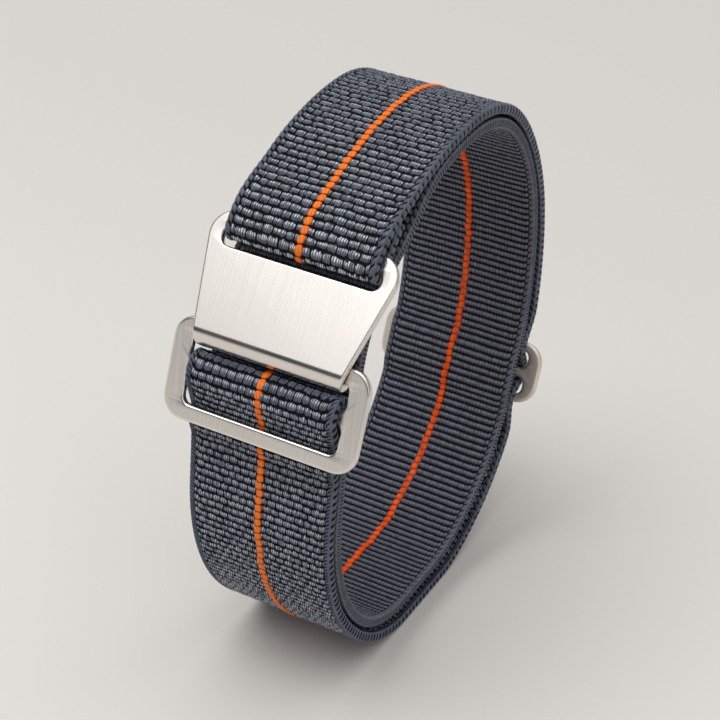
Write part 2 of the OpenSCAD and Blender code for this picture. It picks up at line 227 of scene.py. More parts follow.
class TreeWriter:
    """Adds nodes to a node tree, each with its settings and links in one call."""

    def __init__(self, tree: bpy.types.NodeTree) -> None:
        """Takes a tree and empties it."""
        self.tree = tree
        self.tree.nodes.clear()

    def add(self, kind: str, inputs: Inputs | None = None, **settings: object) -> bpy.types.Node:
        """Adds one node.

        Args:
            kind: Blender's identifier of the node.
            inputs: Input names or indices, each with a plain value, a hex colour, or what feeds it.
            **settings: Properties of the node.

        Returns:
            The new node.
        """
        node = self.tree.nodes.new(kind)
        for name, value in settings.items():
            setattr(node, name, value)
        for name, value in (inputs or {}).items():
            if isinstance(value, Value):
                value = value.socket
            if isinstance(value, Socket):
                self.tree.links.new(value, node.inputs[name])
            else:
                coloured = isinstance(value, str) and value.startswith("#")
                node.inputs[name].default_value = linear(value) if coloured else value
        return node

    def value(
        self, kind: str, inputs: Inputs | None = None, output: int | str = 0, **settings: object
    ) -> Value:
        """Adds one node, as add does, and gives one of its outputs."""
        return Value(self, self.add(kind, inputs, **settings).outputs[output])

    def math(self, operation: str, *values: Number, clamp: bool = False) -> Value:
        """Adds a math node, whose result may be held between 0 and 1."""
        return self.value("ShaderNodeMath", dict(enumerate(values)), operation=operation, use_clamp=clamp)

    def step(self, value: Value, low: float, high: float) -> Value:
        """Rises smoothly from 0 at low to 1 at high."""
        limits = {"Value": value, "From Min": low, "From Max": high}
        return self.value("ShaderNodeMapRange", limits, "Result", interpolation_type="SMOOTHSTEP")

    def wave(self, value: Value, period: Number) -> Value:
        """Distance from the middle of a period: 0 in its middle and 1 at its two ends."""
        return abs(self.math("FRACT", value / period) * 2 - 1)

    def mixed(self, share: Value, first: Value, second: Value) -> Value:
        """Mixes two values by the share of the second."""
        return self.value("ShaderNodeMix", {0: share, 2: first, 3: second}, data_type="FLOAT")

    def colours(self, share: Value, first: Value | str, second: Value | str) -> Value:
        """Mixes two colours by the share of the second."""
        return self.value("ShaderNodeMix", {0: share, 6: first, 7: second}, 2, data_type="RGBA")

    def split(self, vector: Value | Socket) -> list[Value]:
        """Takes a vector apart into its three values."""
        return [Value(self, part) for part in self.add("ShaderNodeSeparateXYZ", {0: vector}).outputs]

    def combine(self, x: Number, y: Number, z: Number) -> Value:
        """Joins three values in a vector."""
        return self.value("ShaderNodeCombineXYZ", {0: x, 1: y, 2: z})

    def scaled(self, vector: Value | Socket, factor: Number) -> Value:
        """Multiplies a vector by a number."""
        return self.value("ShaderNodeVectorMath", {0: vector, "Scale": factor}, operation="SCALE")

    def vector(self, operation: str, *values: Value | Socket | tuple[float, ...]) -> Value:
        """Adds a vector math node."""
        return self.value("ShaderNodeVectorMath", dict(enumerate(values)), operation=operation)

    def noise(
        self, vector: Value | Socket, detail: float, roughness: float = 0.5, scale: float = 1.0
    ) -> Value:
        """Adds smooth noise from 0 to 1."""
        inputs = {"Vector": vector, "Scale": scale, "Detail": detail, "Roughness": roughness}
        return self.value("ShaderNodeTexNoise", inputs, "Fac")

    def stretched_noise(self, x: Value, y: Value, scale: tuple[float, float], detail: float) -> Value:
        """Adds smooth noise over a plane, with a scale for each of its two directions."""
        return self.noise(self.combine(x * scale[0], y * scale[1], 0.0), detail)

    def bump(self, height: Value, strength: float, distance: float) -> Value:
        """Adds a bump node, whose distance is in metres."""
        return self.value("ShaderNodeBump", {"Height": height, "Strength": strength, "Distance": distance})


@dataclass(frozen=True)
class WebbingSizes:
    """Sizes of the webbing and of its two layers, in millimetres and degrees."""

    width: float = 20.0
    thickness: float = 1.4
    layer_gap: float = 0.4
    loose_gap: float = 2.8
    loose_angle: float = 310.0
    clearance: float = 0.1
    dip: float = 2.2
    dip_start: float = -16.0
    dip_end: float = -4.0
    dip_reach: float = 5.0
    slide_push: float = 0.8
    push_half: float = 2.25
    push_ease: float = 2.8
    edge_round: float = 0.42


@dataclass(frozen=True)
class LoopSizes:
    """Arcs of the loop's inner face, in millimetres and degrees."""

    start_angle: float = 130.0
    front_angle: float = 178.0
    low_angle: float = 225.0
    rest_angle: float = 270.0
    heel_angle: float = 290.0
    back_angle: float = 335.0
    back_top_angle: float = 375.0
    top_angle: float = 410.0
    crown_angle: float = 450.0
    clasp_radius: float = 18.0
    front_length: float = 17.0
    front_low_radius: float = 27.0
    bottom_radius: float = 17.0
    rest_length: float = 8.0
    back_radius: float = 44.0
    back_top_radius: float = 29.0
    top_front_radius: float = 35.5


@dataclass(frozen=True)
class CutSizes:
    """Distances that cut the webbing into runs, in millimetres from the start or from the hardware."""

    hook_fold: float = -9.0
    hook_rise: float = 0.1
    top: float = -18.0
    slide: float = 9.0
    above_slide: float = 12.0
    below_slide: float = 10.0
    frame: float = 2.5
    tongue: float = 1.0


@dataclass(frozen=True)
class FrameSizes:
    """Sizes of the clasp frame, in millimetres and degrees."""

    width: float = 26.1
    thickness: float = 1.0
    top_bar: float = 1.9
    upper_window: float = 3.3
    middle_bar: float = 1.7
    lower_window: float = 3.7
    bottom_bar: float = 2.1
    corner: float = 2.8
    lean: float = 16.0
    below_arc: float = 1.3
    stand_off: float = 0.85
    under_gap: float = 0.3
    fold_slack: float = 0.2
    edge_round: float = 0.34


@dataclass(frozen=True)
class HookSizes:
    """Sizes of the hook clasp, in millimetres and degrees."""

    length: float = 16.2
    top_width: float = 25.1
    nose_width: float = 19.4
    thickness: float = 1.0
    strap_bar: float = 2.1
    strap_slot: float = 2.2
    lip: float = 1.2
    lip_corner: float = 0.8
    play: float = 0.25
    bend_gap: float = 0.1
    corner: float = 3.0
    corner_inset: float = 0.2
    turn: float = 20.0
    edge_round: float = 0.34


@dataclass(frozen=True)
class SlideSizes:
    """Sizes of the slide adjuster, in millimetres."""

    width: float = 25.0
    thickness: float = 1.1
    bar: float = 1.3
    middle: float = 1.4
    slot: float = 2.5
    corner: float = 3.0
    clearance: float = 0.2
    height: float = 5.0
    edge_round: float = 0.5


@dataclass(frozen=True)
class FitSizes:
    """Clearances that the hardware shares, in millimetres."""

    side: float = 0.35
    slot_corner: float = 1.0


@dataclass(frozen=True)
class PathSteps:
    """How finely the webbing's middle line is divided, in millimetres, degrees and numbers of steps."""

    gap: float = 0.6
    least_gap: float = 0.02
    turn: int = 6
    bar: int = 8
    bend: int = 16
    hook_bend: int = 20
    tail_at: int = 12
    handle: float = 0.36


STEPS = PathSteps()


def outward(angle: float) -> Point:
    """Unit vector at an angle in degrees, from the first axis towards the second."""
    return cmath.rect(1.0, math.radians(angle))


def along(angle: float) -> Point:
    """Unit vector at right angles to outward, turned on by 90 degrees."""
    return 1j * outward(angle)


def cross(p: Point, q: Point) -> float:
    """Cross product of two vectors."""
    return p.real * q.imag - p.imag * q.real


def eased(u: float) -> float:
    """Smooth step from 0 to 1."""
    c = min(max(u, 0.0), 1.0)
    return c * c * (3 - 2 * c)


def bend(p0: Point, w0: Point, p1: Point, w1: Point, steps: int = STEPS.bend) -> list[Point]:
    """Smooth curve between two points with given directions.

    Args:
        p0: Start.
        w0: Direction at the start.
        p1: End.
        w1: Direction at the end.
        steps: Number of steps.

    Returns:
        The curve's points.
    """
    handle = STEPS.handle * abs(p1 - p0)
    a, b = p0 + handle * w0, p1 - handle * w1
    points = []
    for i in range(steps + 1):
        u, v = i / steps, 1 - i / steps
        points.append(v**3 * p0 + 3 * u * v * v * a + 3 * u * u * v * b + u**3 * p1)
    return points


def crossing(bar: float, window: float, r: float, under: float, over: float) -> list[Point]:
    """Webbing that comes from under an outer bar, through a window and over the middle bar.

    Args:
        bar: Half the width of the middle bar.
        window: Length of the window.
        r: Radius of the bars' edges.
        under: Distance of the webbing's middle from the outer bar's.
        over: Distance of the webbing's middle from the middle bar's.

    Returns:
        Points in the hardware's own frame.
    """
    slope = math.asin((over + under) / (window + 2 * r))
    turns = [cmath.rect(1.0, slope * i / STEPS.bar) for i in range(STEPS.bar + 1)]
    far = [complex(bar + window + r - under * t.imag, -under * t.real) for t in turns]
    return far + [complex(bar - r + over * t.imag, over * t.real) for t in reversed(turns)]


@dataclass(frozen=True)
class Arc:
    """One arc of the loop's inner face, or a straight run of it if both angles are the same."""

    start: float
    end: float
    size: float

    @property
    def straight(self) -> bool:
        """Whether the run is straight."""
        return self.start == self.end

    @property
    def length(self) -> float:
        """Length along the inner face."""
        return self.size if self.straight else self.size * math.radians(self.end - self.start)

    def angle(self, s: float) -> float:
        """Angle of the outward normal at a distance from the run's start."""
        return self.start if self.straight else self.start + math.degrees(s / self.size)

    def step(self, s: float) -> Point:
        """Way covered in a distance from the run's start."""
        curved = self.size * (outward(self.angle(s)) - outward(self.start))
        return s * along(self.start) if self.straight else curved


class WristLoop:
    """The closed inner face of the band, seen from the side, and the two layers that lie on it.

    A place on it is a distance along the inner face, from above the clasp down the front and round.
    """

    REST_ARC = 4
    BACK_ARC = 7

    def __init__(self, sizes: LoopSizes, webbing: WebbingSizes, slide_height: float) -> None:
        """Lays the arcs end to end.

        Args:
            sizes: Sizes of the arcs.
            webbing: Sizes of the webbing.
            slide_height: Distance of the slide adjuster from the start of the back arc.
        """
        self.webbing = webbing
        self.arcs = self._closed(sizes)
        self.starts = [0j]
        self.lengths = [0.0]
        for arc in self.arcs:
            self.starts.append(self.starts[-1] + arc.step(arc.length))
            self.lengths.append(self.lengths[-1] + arc.length)
        self.length = self.lengths[-1]
        self.slide_s = self.lengths[self.BACK_ARC] + slide_height
        rest = self.lengths[self.REST_ARC] + sizes.rest_length / 2
        self.rest_level = self.point(rest, self.outer_level(rest)).imag

    @staticmethod
    def _closed(z: LoopSizes) -> list[Arc]:
        """Works out the two radii that close the loop.

        Args:
            z: Sizes of the loop.

        Returns:
            The arcs in order.
        """
        first = [
            Arc(z.start_angle, z.front_angle, z.clasp_radius),
            Arc(z.front_angle, z.front_angle, z.front_length),
            Arc(z.front_angle, z.low_angle, z.front_low_radius),
            Arc(z.low_angle, z.rest_angle, z.bottom_radius),
            Arc(z.rest_angle, z.rest_angle, z.rest_length),
            Arc(z.rest_angle, z.heel_angle, z.bottom_radius),
        ]
        back = [
            Arc(z.back_angle, z.back_top_angle, z.back_radius),
            Arc(z.back_top_angle, z.top_angle, z.back_top_radius),
        ]
        front = Arc(z.crown_angle, z.start_angle + 360, z.top_front_radius)
        gap = sum(arc.step(arc.length) for arc in (*first, *back, front))
        low = outward(z.back_angle) - outward(z.heel_angle)
        top = outward(z.crown_angle) - outward(z.top_angle)
        low_arc = Arc(z.heel_angle, z.back_angle, cross(top, gap) / cross(low, top))
        top_arc = Arc(z.top_angle, z.crown_angle, cross(gap, low) / cross(low, top))
        return [*first, low_arc, *back, top_arc, front]

    def _arc_at(self, s: float) -> tuple[int, float]:
        """Finds the run that holds a distance.

        Args:
            s: Distance along the inner face.

        Returns:
            Index of the run and the distance from its start.
        """
        within = s % self.length
        index = min(bisect_right(self.lengths, within), len(self.arcs)) - 1
        return index, within - self.lengths[index]

    def angle(self, s: float) -> float:
        """Angle of the outward normal, in degrees."""
        index, rest = self._arc_at(s)
        return self.arcs[index].angle(rest)

    def way(self, s: float, sign: float = 1.0) -> Point:
        """Direction of the loop, or with a sign of -1 of the way back."""
        return sign * along(self.angle(s))

    def point(self, s: float, d: float) -> Point:
        """Point at a distance d outward of the inner face."""
        index, rest = self._arc_at(s)
        return self.starts[index] + self.arcs[index].step(rest) + d * outward(self.angle(s))

    def outer_level(self, s: float) -> float:
        """Distance of the outer layer's middle from the inner face."""
        loose = math.cos(math.radians(min(abs(self.angle(s) - self.webbing.loose_angle), 90.0))) ** 2
        return 1.5 * self.webbing.thickness + self.webbing.layer_gap + self.webbing.loose_gap * loose

    def outer(self, s: float) -> Point:
        """Middle of the outer layer, which rests flat at the bottom."""
        p = self.point(s, self.outer_level(s))
        return complex(p.real, max(p.imag, self.rest_level))

    def inner(self, s: float) -> Point:
        """Middle of the inner layer, whose free end dips behind the clasp.

        Args:
            s: Distance along the inner face.

        Returns:
            The point in the side view.
        """
        z = self.webbing
        share = (s - z.dip_start) / (z.dip_end - z.dip_start) if s < self.lengths[1] + z.dip_reach else 0.0
        off = abs(s - self.slide_s)
        push = z.slide_push * eased((z.push_half + z.push_ease - off) / z.push_ease)
        return self.point(s, z.thickness / 2 - z.dip * eased(share) - push)

    def run(self, s0: float, s1: float, place: Callable[[float], Point]) -> list[Point]:
        """Points of a layer from one distance to another."""
        count = max(2, math.ceil(abs(s1 - s0) / STEPS.gap))
        return [place(s0 + (s1 - s0) * i / count) for i in range(count + 1)]


@dataclass(frozen=True)
class Seat:
    """Frame of one hardware piece in the side view: x runs along the piece and y outward."""

    origin: Point
    angle: float

    def at(self, x: float, y: float) -> Point:
        """Point of the piece, in the side view."""
        return self.origin + x * along(self.angle) + y * outward(self.angle)

    def path(self, points: list[Point]) -> list[Point]:
        """Points of the piece, in the side view."""
        return [self.at(p.real, p.imag) for p in points]

    def matrix(self, shift: Point) -> Matrix:
        """Transform from the flat piece, X across, Y along and Z outward, in millimetres.

        Args:
            shift: Move of the whole side view.

        Returns:
            The transform to metres in the row frame.
        """
        a, o, p = along(self.angle), outward(self.angle), self.origin + shift
        rows = ((1, 0, 0, 0), (0, a.real, o.real, p.real), (0, a.imag, o.imag, p.imag), (0, 0, 0, 1))
        return Matrix.Scale(MM, 4) @ Matrix(rows)


class BandLayout:
    """Where the hardware sits and how the webbing runs through it, in the side view."""

    def __init__(self) -> None:
        """Works out every seat and every run of webbing."""
        self.webbing = WebbingSizes()
        self.frame = FrameSizes()
        self.hook = HookSizes()
        self.slide = SlideSizes()
        self.fits = FitSizes()
        self.cuts = CutSizes()
        self.loop_sizes = LoopSizes()
        self.loop = WristLoop(self.loop_sizes, self.webbing, self.slide.height)
        self._seat_frame()
        self._seat_hook()
        self._seat_slide()
        self.shift = self._shift_to_row_frame()
        self.runs = self._webbing_runs()

    def _seat_frame(self) -> None:
        """Sets the clasp frame in the straight front of the loop."""
        f, w = self.frame, self.webbing
        self.bar_round = f.thickness / 2
        self.clasp_s = self.loop.lengths[1] + f.below_arc
        self.frame_over = self.bar_round + w.clearance + w.thickness / 2
        self.frame_under = self.bar_round + f.under_gap + w.thickness / 2
        level = w.thickness / 2 + f.stand_off + self.frame_over
        self.frame_seat = Seat(self.loop.point(self.clasp_s, level), self.loop_sizes.front_angle - f.lean)
        self.frame_top = -f.middle_bar / 2 - f.upper_window - f.top_bar
        self.frame_bottom = f.middle_bar / 2 + f.lower_window + f.bottom_bar

    def _seat_hook(self) -> None:
        """Sets the hook round the clasp frame's top bar."""
        f, h = self.frame, self.hook
        origin = self.frame_seat.at(self.frame_top + f.top_bar / 2, 0)
        self.hook_seat = Seat(origin, self.frame_seat.angle - h.turn)
        reach = (f.top_bar / 2 - self.bar_round) * outward(h.turn)
        self.hook_inner = self.bar_round + reach.imag + h.play
        self.hook_bend = reach.real + self.bar_round + h.play - self.hook_inner + h.bend_gap
        self.hook_nose = self.hook_bend + self.hook_inner + h.thickness
        self.hook_top = self.hook_nose - h.length
        self.hook_mid = self.hook_inner + h.thickness / 2
        self.strap_over = h.thickness / 2 + self.webbing.clearance + self.webbing.thickness / 2

    def _seat_slide(self) -> None:
        """Sets the slide adjuster on the back arc."""
        s, w, slide_s = self.slide, self.webbing, self.loop.slide_s
        level = 2 * w.thickness + s.clearance + w.clearance + s.thickness / 2
        self.slide_seat = Seat(self.loop.point(slide_s, level), self.loop.angle(slide_s))
        self.slide_over = s.thickness / 2 + w.clearance + w.thickness / 2
        self.slide_half = s.middle / 2 + s.slot + s.bar

    def _shift_to_row_frame(self) -> Point:
        """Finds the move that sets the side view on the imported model.

        Returns:
            The move in millimetres.
        """
        low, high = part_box("clasp_frame")
        middle = (low + high) / 2 / MM
        return complex(middle.y, middle.z) - self.frame_seat.at((self.frame_top + self.frame_bottom) / 2, 0)

    def _hook_fold(self, cut: Point, way: Point) -> list[Point]:
        """Webbing from its sewn tail, round the hook's strap bar and up to the outer layer.

        Args:
            cut: End of the run.
            way: Direction at its end.

        Returns:
            The run's points.
        """
        seat, over, r = self.hook_seat, self.strap_over, self.hook.thickness / 2
        down = along(seat.angle)
        leg = bend(seat.at(self.hook_top + r, self.hook_mid + over), -down, cut, way, STEPS.hook_bend)
        here, following = leg[STEPS.tail_at], leg[STEPS.tail_at + 1]
        ahead = (following - here) / abs(following - here)
        tail = here - (self.webbing.thickness + STEPS.least_gap) * 1j * ahead
        inside = seat.at(self.hook_top + r, self.hook_mid - over)
        centre = complex(self.hook_top + self.hook.strap_bar - r, self.hook_mid)
        turn = seat.path([centre + over * outward(a) for a in range(-90, 91, STEPS.turn)])
        return [*bend(tail, -ahead, inside, down), *turn, *leg]

    def _slide_weave(self, upper: float, lower: float) -> list[Point]:
        """Webbing through the slide: inside its top bar, over its middle bar, inside its bottom bar.

        Args:
            upper: Distance at which the run starts.
            lower: Distance at which it ends.

        Returns:
            The run's points, from the top down.
        """
        seat, loop, z, over = self.slide_seat, self.loop, self.slide, self.slide_over
        r = z.thickness / 2
        half = crossing(z.middle / 2, z.slot, r, over, over)
        down = -along(seat.angle)
        first = seat.at(self.slide_half - r, -over)
        last = seat.at(r - self.slide_half, -over)
        return [
            *bend(loop.outer(upper), loop.way(upper, -1), first, down),
            *seat.path(half + [-p.conjugate() for p in reversed(half)]),
            *bend(last, down, loop.outer(lower), loop.way(lower, -1)),
        ]

    def _frame_fold(self, cut: float) -> list[Point]:
        """Webbing behind the frame's bottom bar, over its middle bar and back inside the loop.

        Args:
            cut: Distance at which the run starts and ends.

        Returns:
            The run's points.
        """
        f, seat, loop, r = self.frame, self.frame_seat, self.loop, self.bar_round
        over, under, slack = self.frame_over, self.frame_under, self.frame.fold_slack
        down = along(seat.angle)
        centre = complex(r - f.middle_bar / 2, -slack / 2)
        turn = [centre + (over + slack / 2) * outward(a) for a in range(90, 271, STEPS.turn)]
        back = self.clasp_s + self.frame_bottom
        return [
            *bend(loop.outer(cut), loop.way(cut, -1), seat.at(self.frame_bottom - r, -under), -down),
            *seat.path(crossing(f.middle_bar / 2, f.lower_window, r, under, over) + turn),
            *bend(seat.at(0, -over - slack), down, loop.inner(back), loop.way(back)),
            *loop.run(back, cut, loop.inner),
        ]

    def _webbing_runs(self) -> dict[str, list[Point]]:
        """Middle line of the whole webbing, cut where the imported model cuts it.

        Returns:
            The runs in order, each with its points in the row frame, in millimetres.
        """
        loop, z, dip = self.loop, self.cuts, self.webbing.dip_start
        cut_point = loop.point(z.hook_fold, loop.outer_level(z.hook_fold) + z.hook_rise)
        cut_way = loop.way(z.hook_fold, -1)
        upper, lower = loop.slide_s + z.slide, loop.slide_s - z.slide
        upper_end, lower_end = upper + z.above_slide, lower - z.below_slide
        cut = self.clasp_s + self.frame_bottom + z.frame
        into_top = bend(cut_point, cut_way, loop.outer(z.top), loop.way(z.top, -1))
        tongue = loop.run(dip, self.clasp_s + z.tongue, loop.inner)
        runs = {
            "hook_fold": self._hook_fold(cut_point, cut_way),
            "outer_top": [*into_top, *loop.run(loop.length + z.top, upper_end, loop.outer)],
            "back_upper": loop.run(upper_end, upper, loop.outer),
            "slider_weave": self._slide_weave(upper, lower),
            "back_lower": loop.run(lower, lower_end, loop.outer),
            "outer_bottom": loop.run(lower_end, cut, loop.outer),
            "frame_fold": self._frame_fold(cut),
            "inner": [*loop.run(cut, loop.length + dip, loop.inner), *tongue],
        }
        return {name: [p + self.shift for p in points] for name, points in runs.items()}


class StrapRoute:
    """The webbing's middle line as one curve, which isn't a piece, and the spans of its runs along it."""

    def __init__(self, runs: dict[str, list[Point]]) -> None:
        """Joins the runs and makes the curve.

        Args:
            runs: The runs in order, each with its points.
        """
        points = [next(iter(runs.values()))[0]]
        self.spans: dict[str, tuple[float, float]] = {}
        distance = 0.0
        for name, run in runs.items():
            start = distance
            for p in run:
                gap = abs(p - points[-1])
                if gap >= STEPS.least_gap:
                    distance += gap
                    points.append(p)
            self.spans[name] = (start, distance)
        data = bpy.data.curves.new("strap_route", "CURVE")
        data.dimensions = "3D"
        add_spline(data, [(0.0, p.real * MM, p.imag * MM) for p in points], closed=False)
        self.object = linked("strap_route", data)

    def remove(self) -> None:
        """Takes the curve away once every piece is made."""
        data = self.object.data
        bpy.data.objects.remove(self.object)
        bpy.data.curves.remove(data)


@dataclass(frozen=True)
class WeaveSizes:
    """Sizes of the weave in millimetres, how round its rows and blocks are, and how uneven they are."""

    row: float = 1.06
    block: float = 1.4
    cord: float = 1.06
    stroke: float = 1.06
    depth: float = 0.34
    stagger: float = 0.5
    row_power: float = 2.6
    block_power: float = 7.0
    block_cut: float = 0.95
    wander: float = 0.2
    spread: float = 0.9
    curl: float = 0.4
    stroke_cut: float = 0.6
    stroke_power: float = 1.2


WEAVES = {
    Weave.TOP: WeaveSizes(),
    Weave.FRONT: WeaveSizes(
        row=1.04,
        block=1.1,
        cord=0.52,
        stroke=1.04,
        row_power=2.4,
        block_power=6.0,
        block_cut=0.9,
        wander=0.16,
        spread=0.5,
        stroke_cut=1.0,
        stroke_power=1.4,
    ),
    Weave.INNER: WeaveSizes(
        row=1.02,
        block=0.5,
        cord=1.02,
        stroke=0.51,
        depth=0.28,
        stagger=0.0,
        row_power=1.5,
        block_power=2.5,
        block_cut=0.5,
        wander=0.08,
        spread=0.3,
        stroke_cut=0.8,
    ),
}


class WeavePattern:
    """Height of the weave from its own coordinates, written the same way in every tree.

    The coordinates are a place across the blocks, a place along the rows and the distance from the
    edge of the webbing, all in millimetres. Cords, ridge and side each have the distance from the
    edge at which they begin, and half the width over which they do so.
    """

    CORDS = (0.92, 0.06)
    RIDGE = (0.42, 0.08)
    SIDE = (0.14, 0.05)
    CORD_SLANT = 0.5
    CORD_POWER = 2.2
    CORD_CUT = 0.8
    RIDGE_CUT = 0.25
    STROKE_SLANT = 0.4
    GROOVE_HALF = 0.15
    GROOVE_CUT = 0.4

    def __init__(self, writer: TreeWriter, sizes: WeaveSizes | SimpleNamespace) -> None:
        """Keeps the writer, and the sizes as numbers or as the inputs of its tree."""
        self.w = writer
        self.sizes = sizes

    def _within(self, rim: Value, part: tuple[float, float]) -> Value:
        """Rises to 1 where the edge is nearer than a part's beginning."""
        begin, soft = part
        return self.w.step(rim, begin + soft, begin - soft)

    def edging(self, moved: Value, rim: Value) -> Value:
        """Height of the selvedge: slanted cords beside the rows, a smooth ridge, and strokes on the side.

        Args:
            moved: Place along the rows.
            rim: Distance from the edge.

        Returns:
            The height.
        """
        w, z = self.w, self.sizes
        cords = w.wave(moved + rim * self.CORD_SLANT, z.cord) ** self.CORD_POWER
        strokes = w.wave(moved + rim * self.STROKE_SLANT, z.stroke) ** z.stroke_power * z.stroke_cut
        inside, ridge = 1 - cords * self.CORD_CUT, 1 - cords * self.RIDGE_CUT
        height = w.mixed(self._within(rim, self.RIDGE), inside, ridge)
        height = w.mixed(self._within(rim, self.SIDE), height, 1 - strokes)
        groove = w.step(abs(rim - self.CORDS[0]), self.GROOVE_HALF, 0.0)
        return height - groove * self.GROOVE_CUT

    def height(
        self, shifted: Value, moved: Value, rim: Value, row_place: Value, crown: Number = 1.0
    ) -> Value:
        """Height of the weave: 1 on a crown and 0 in the gaps.

        Args:
            shifted: Place across the blocks.
            moved: Place along the rows.
            rim: Distance from the edge.
            row_place: 0 in the middle of a row and 1 at its two sides.
            crown: Height of the block's crown.

        Returns:
            The height.
        """
        w, z = self.w, self.sizes
        row_end = row_place**z.row_power
        block_end = w.wave(shifted, z.block) ** z.block_power * z.block_cut
        body = (1 - row_end) * (1 - block_end) * crown
        return w.mixed(self._within(rim, self.CORDS), body, self.edging(moved, rim))


@dataclass(frozen=True)
class StripeSizes:
    """Sizes of the stripe's beads, in millimetres. They sit deeper in the fold under the tilting frame."""

    pitch: float = 1.06
    width: float = 1.02
    height: float = 0.54
    slant: float = 0.12
    wobble: float = 0.2
    sink: float = 0.16
    fold_sink: float = 0.25
    fullness: float = 2.9


@dataclass(frozen=True)
class MeshSteps:
    """How finely the webbing is divided. Its section goes over the face, an edge, the back and an edge."""

    section: tuple[int, ...] = (132, 9, 44, 9)
    row_gap: float = 0.15
    most_triangles: int = 180000

    @property
    def around(self) -> int:
        """Number of points round the webbing's section."""
        return sum(self.section)


class RouteTree:
    """A geometry node tree that makes a piece along the strap's route.

    Lengths inside the tree are millimetres. A point is set by how far it lies across the strap, how far
    it stands off the middle line, and its distance along the route.
    """

    KINDS = {"route": "Object", "rows": "Int", "seed": "Int", "material": "Material"}
    COMMON = ("route", "start", "rows", "width", "thickness", "seed", "material")

    def __init__(self, name: str, own_inputs: tuple[str, ...]) -> None:
        """Makes the tree with its named inputs.

        Args:
            name: Name of the tree.
            own_inputs: Inputs that it has beside the common ones.
        """
        self.tree = bpy.data.node_groups.new(name, "GeometryNodeTree")
        interface = self.tree.interface
        self.identifiers: dict[str, str] = {}
        for item in (*self.COMMON, *own_inputs):
            label, kind = item.replace("_", " ").title(), f"NodeSocket{self.KINDS.get(item, 'Float')}"
            socket = interface.new_socket(label, in_out="INPUT", socket_type=kind)
            self.identifiers[item] = socket.identifier
        interface.new_socket("Geometry", in_out="OUTPUT", socket_type="NodeSocketGeometry")
        self.w = TreeWriter(self.tree)
        outputs = self.w.add("NodeGroupInput").outputs
        self.inputs = SimpleNamespace(
            **{item: Value(self.w, output) for item, output in zip(self.identifiers, outputs)}
        )
        self.write()

    def write(self) -> None:
        """Writes the tree."""
        raise NotImplementedError

    def chance(self, seed: Value, identity: Value | None = None) -> Value:
        """A number from 0 to 1 that is the same for the same identity, or else for the same point."""
        inputs = {"Seed": seed} if identity is None else {"ID": identity, "Seed": seed}
        return self.w.value("FunctionNodeRandomValue", inputs, 1, data_type="FLOAT")

    def set_and_finish(
        self, geometry: Value | Socket, weave: Value, across: Value, off: Value, s: Value
    ) -> None:
        """Stores the weave's coordinates, sets every point along the route and ends the tree.

        Args:
            geometry: What the tree has made.
            weave: Coordinates that the material reads.
            across: Distance across the strap.
            off: Distance off the middle line, towards the striped face.
            s: Distance along the route.
        """
        w = self.w
        stored = w.value(
            "GeometryNodeStoreNamedAttribute",
            {"Geometry": geometry, "Name": "weave", "Value": weave},
            data_type="FLOAT_VECTOR",
            domain="POINT",
        )
        route = w.add("GeometryNodeObjectInfo", {"Object": self.inputs.route})
        sample = w.add(
            "GeometryNodeSampleCurve",
            {"Curves": route.outputs["Geometry"], "Length": s * MM},
            mode="LENGTH",
            use_all_curves=True,
        ).outputs
        facing = w.vector("NORMALIZE", w.vector("CROSS_PRODUCT", (1.0, 0.0, 0.0), sample["Tangent"]))
        middle = w.vector("ADD", sample["Position"], w.combine(across * MM, 0.0, 0.0))
        place = w.vector("ADD", middle, w.scaled(facing, off * MM))
        moved = w.value("GeometryNodeSetPosition", {"Geometry": stored, "Position": place})
        real = w.value("GeometryNodeRealizeInstances", {"Geometry": moved})
        smooth = w.value("GeometryNodeSetShadeSmooth", {"Geometry": real})
        painted = w.value("GeometryNodeSetMaterial", {"Geometry": smooth, "Material": self.inputs.material})
        w.add("NodeGroupOutput", {"Geometry": painted})

    def make(self, name: str, values: dict[str, object]) -> bpy.types.Object:
        """Runs the tree and keeps its result as a plain mesh.

        Args:
            name: Name of the piece.
            values: A value for each input.

        Returns:
            The finished object at the origin.
        """
        blank = bpy.data.meshes.new(f"{name}_maker")
        holder = linked(f"{name}_maker", blank)
        modifier = holder.modifiers.new("tree", "NODES")
        modifier.node_group = self.tree
        for item, value in values.items():
            modifier[self.identifiers[item]] = value
        holder.update_tag()
        mesh = evaluated(holder)
        mesh.name = name
        bpy.data.objects.remove(holder)
        bpy.data.meshes.remove(blank)
        return linked(name, mesh)


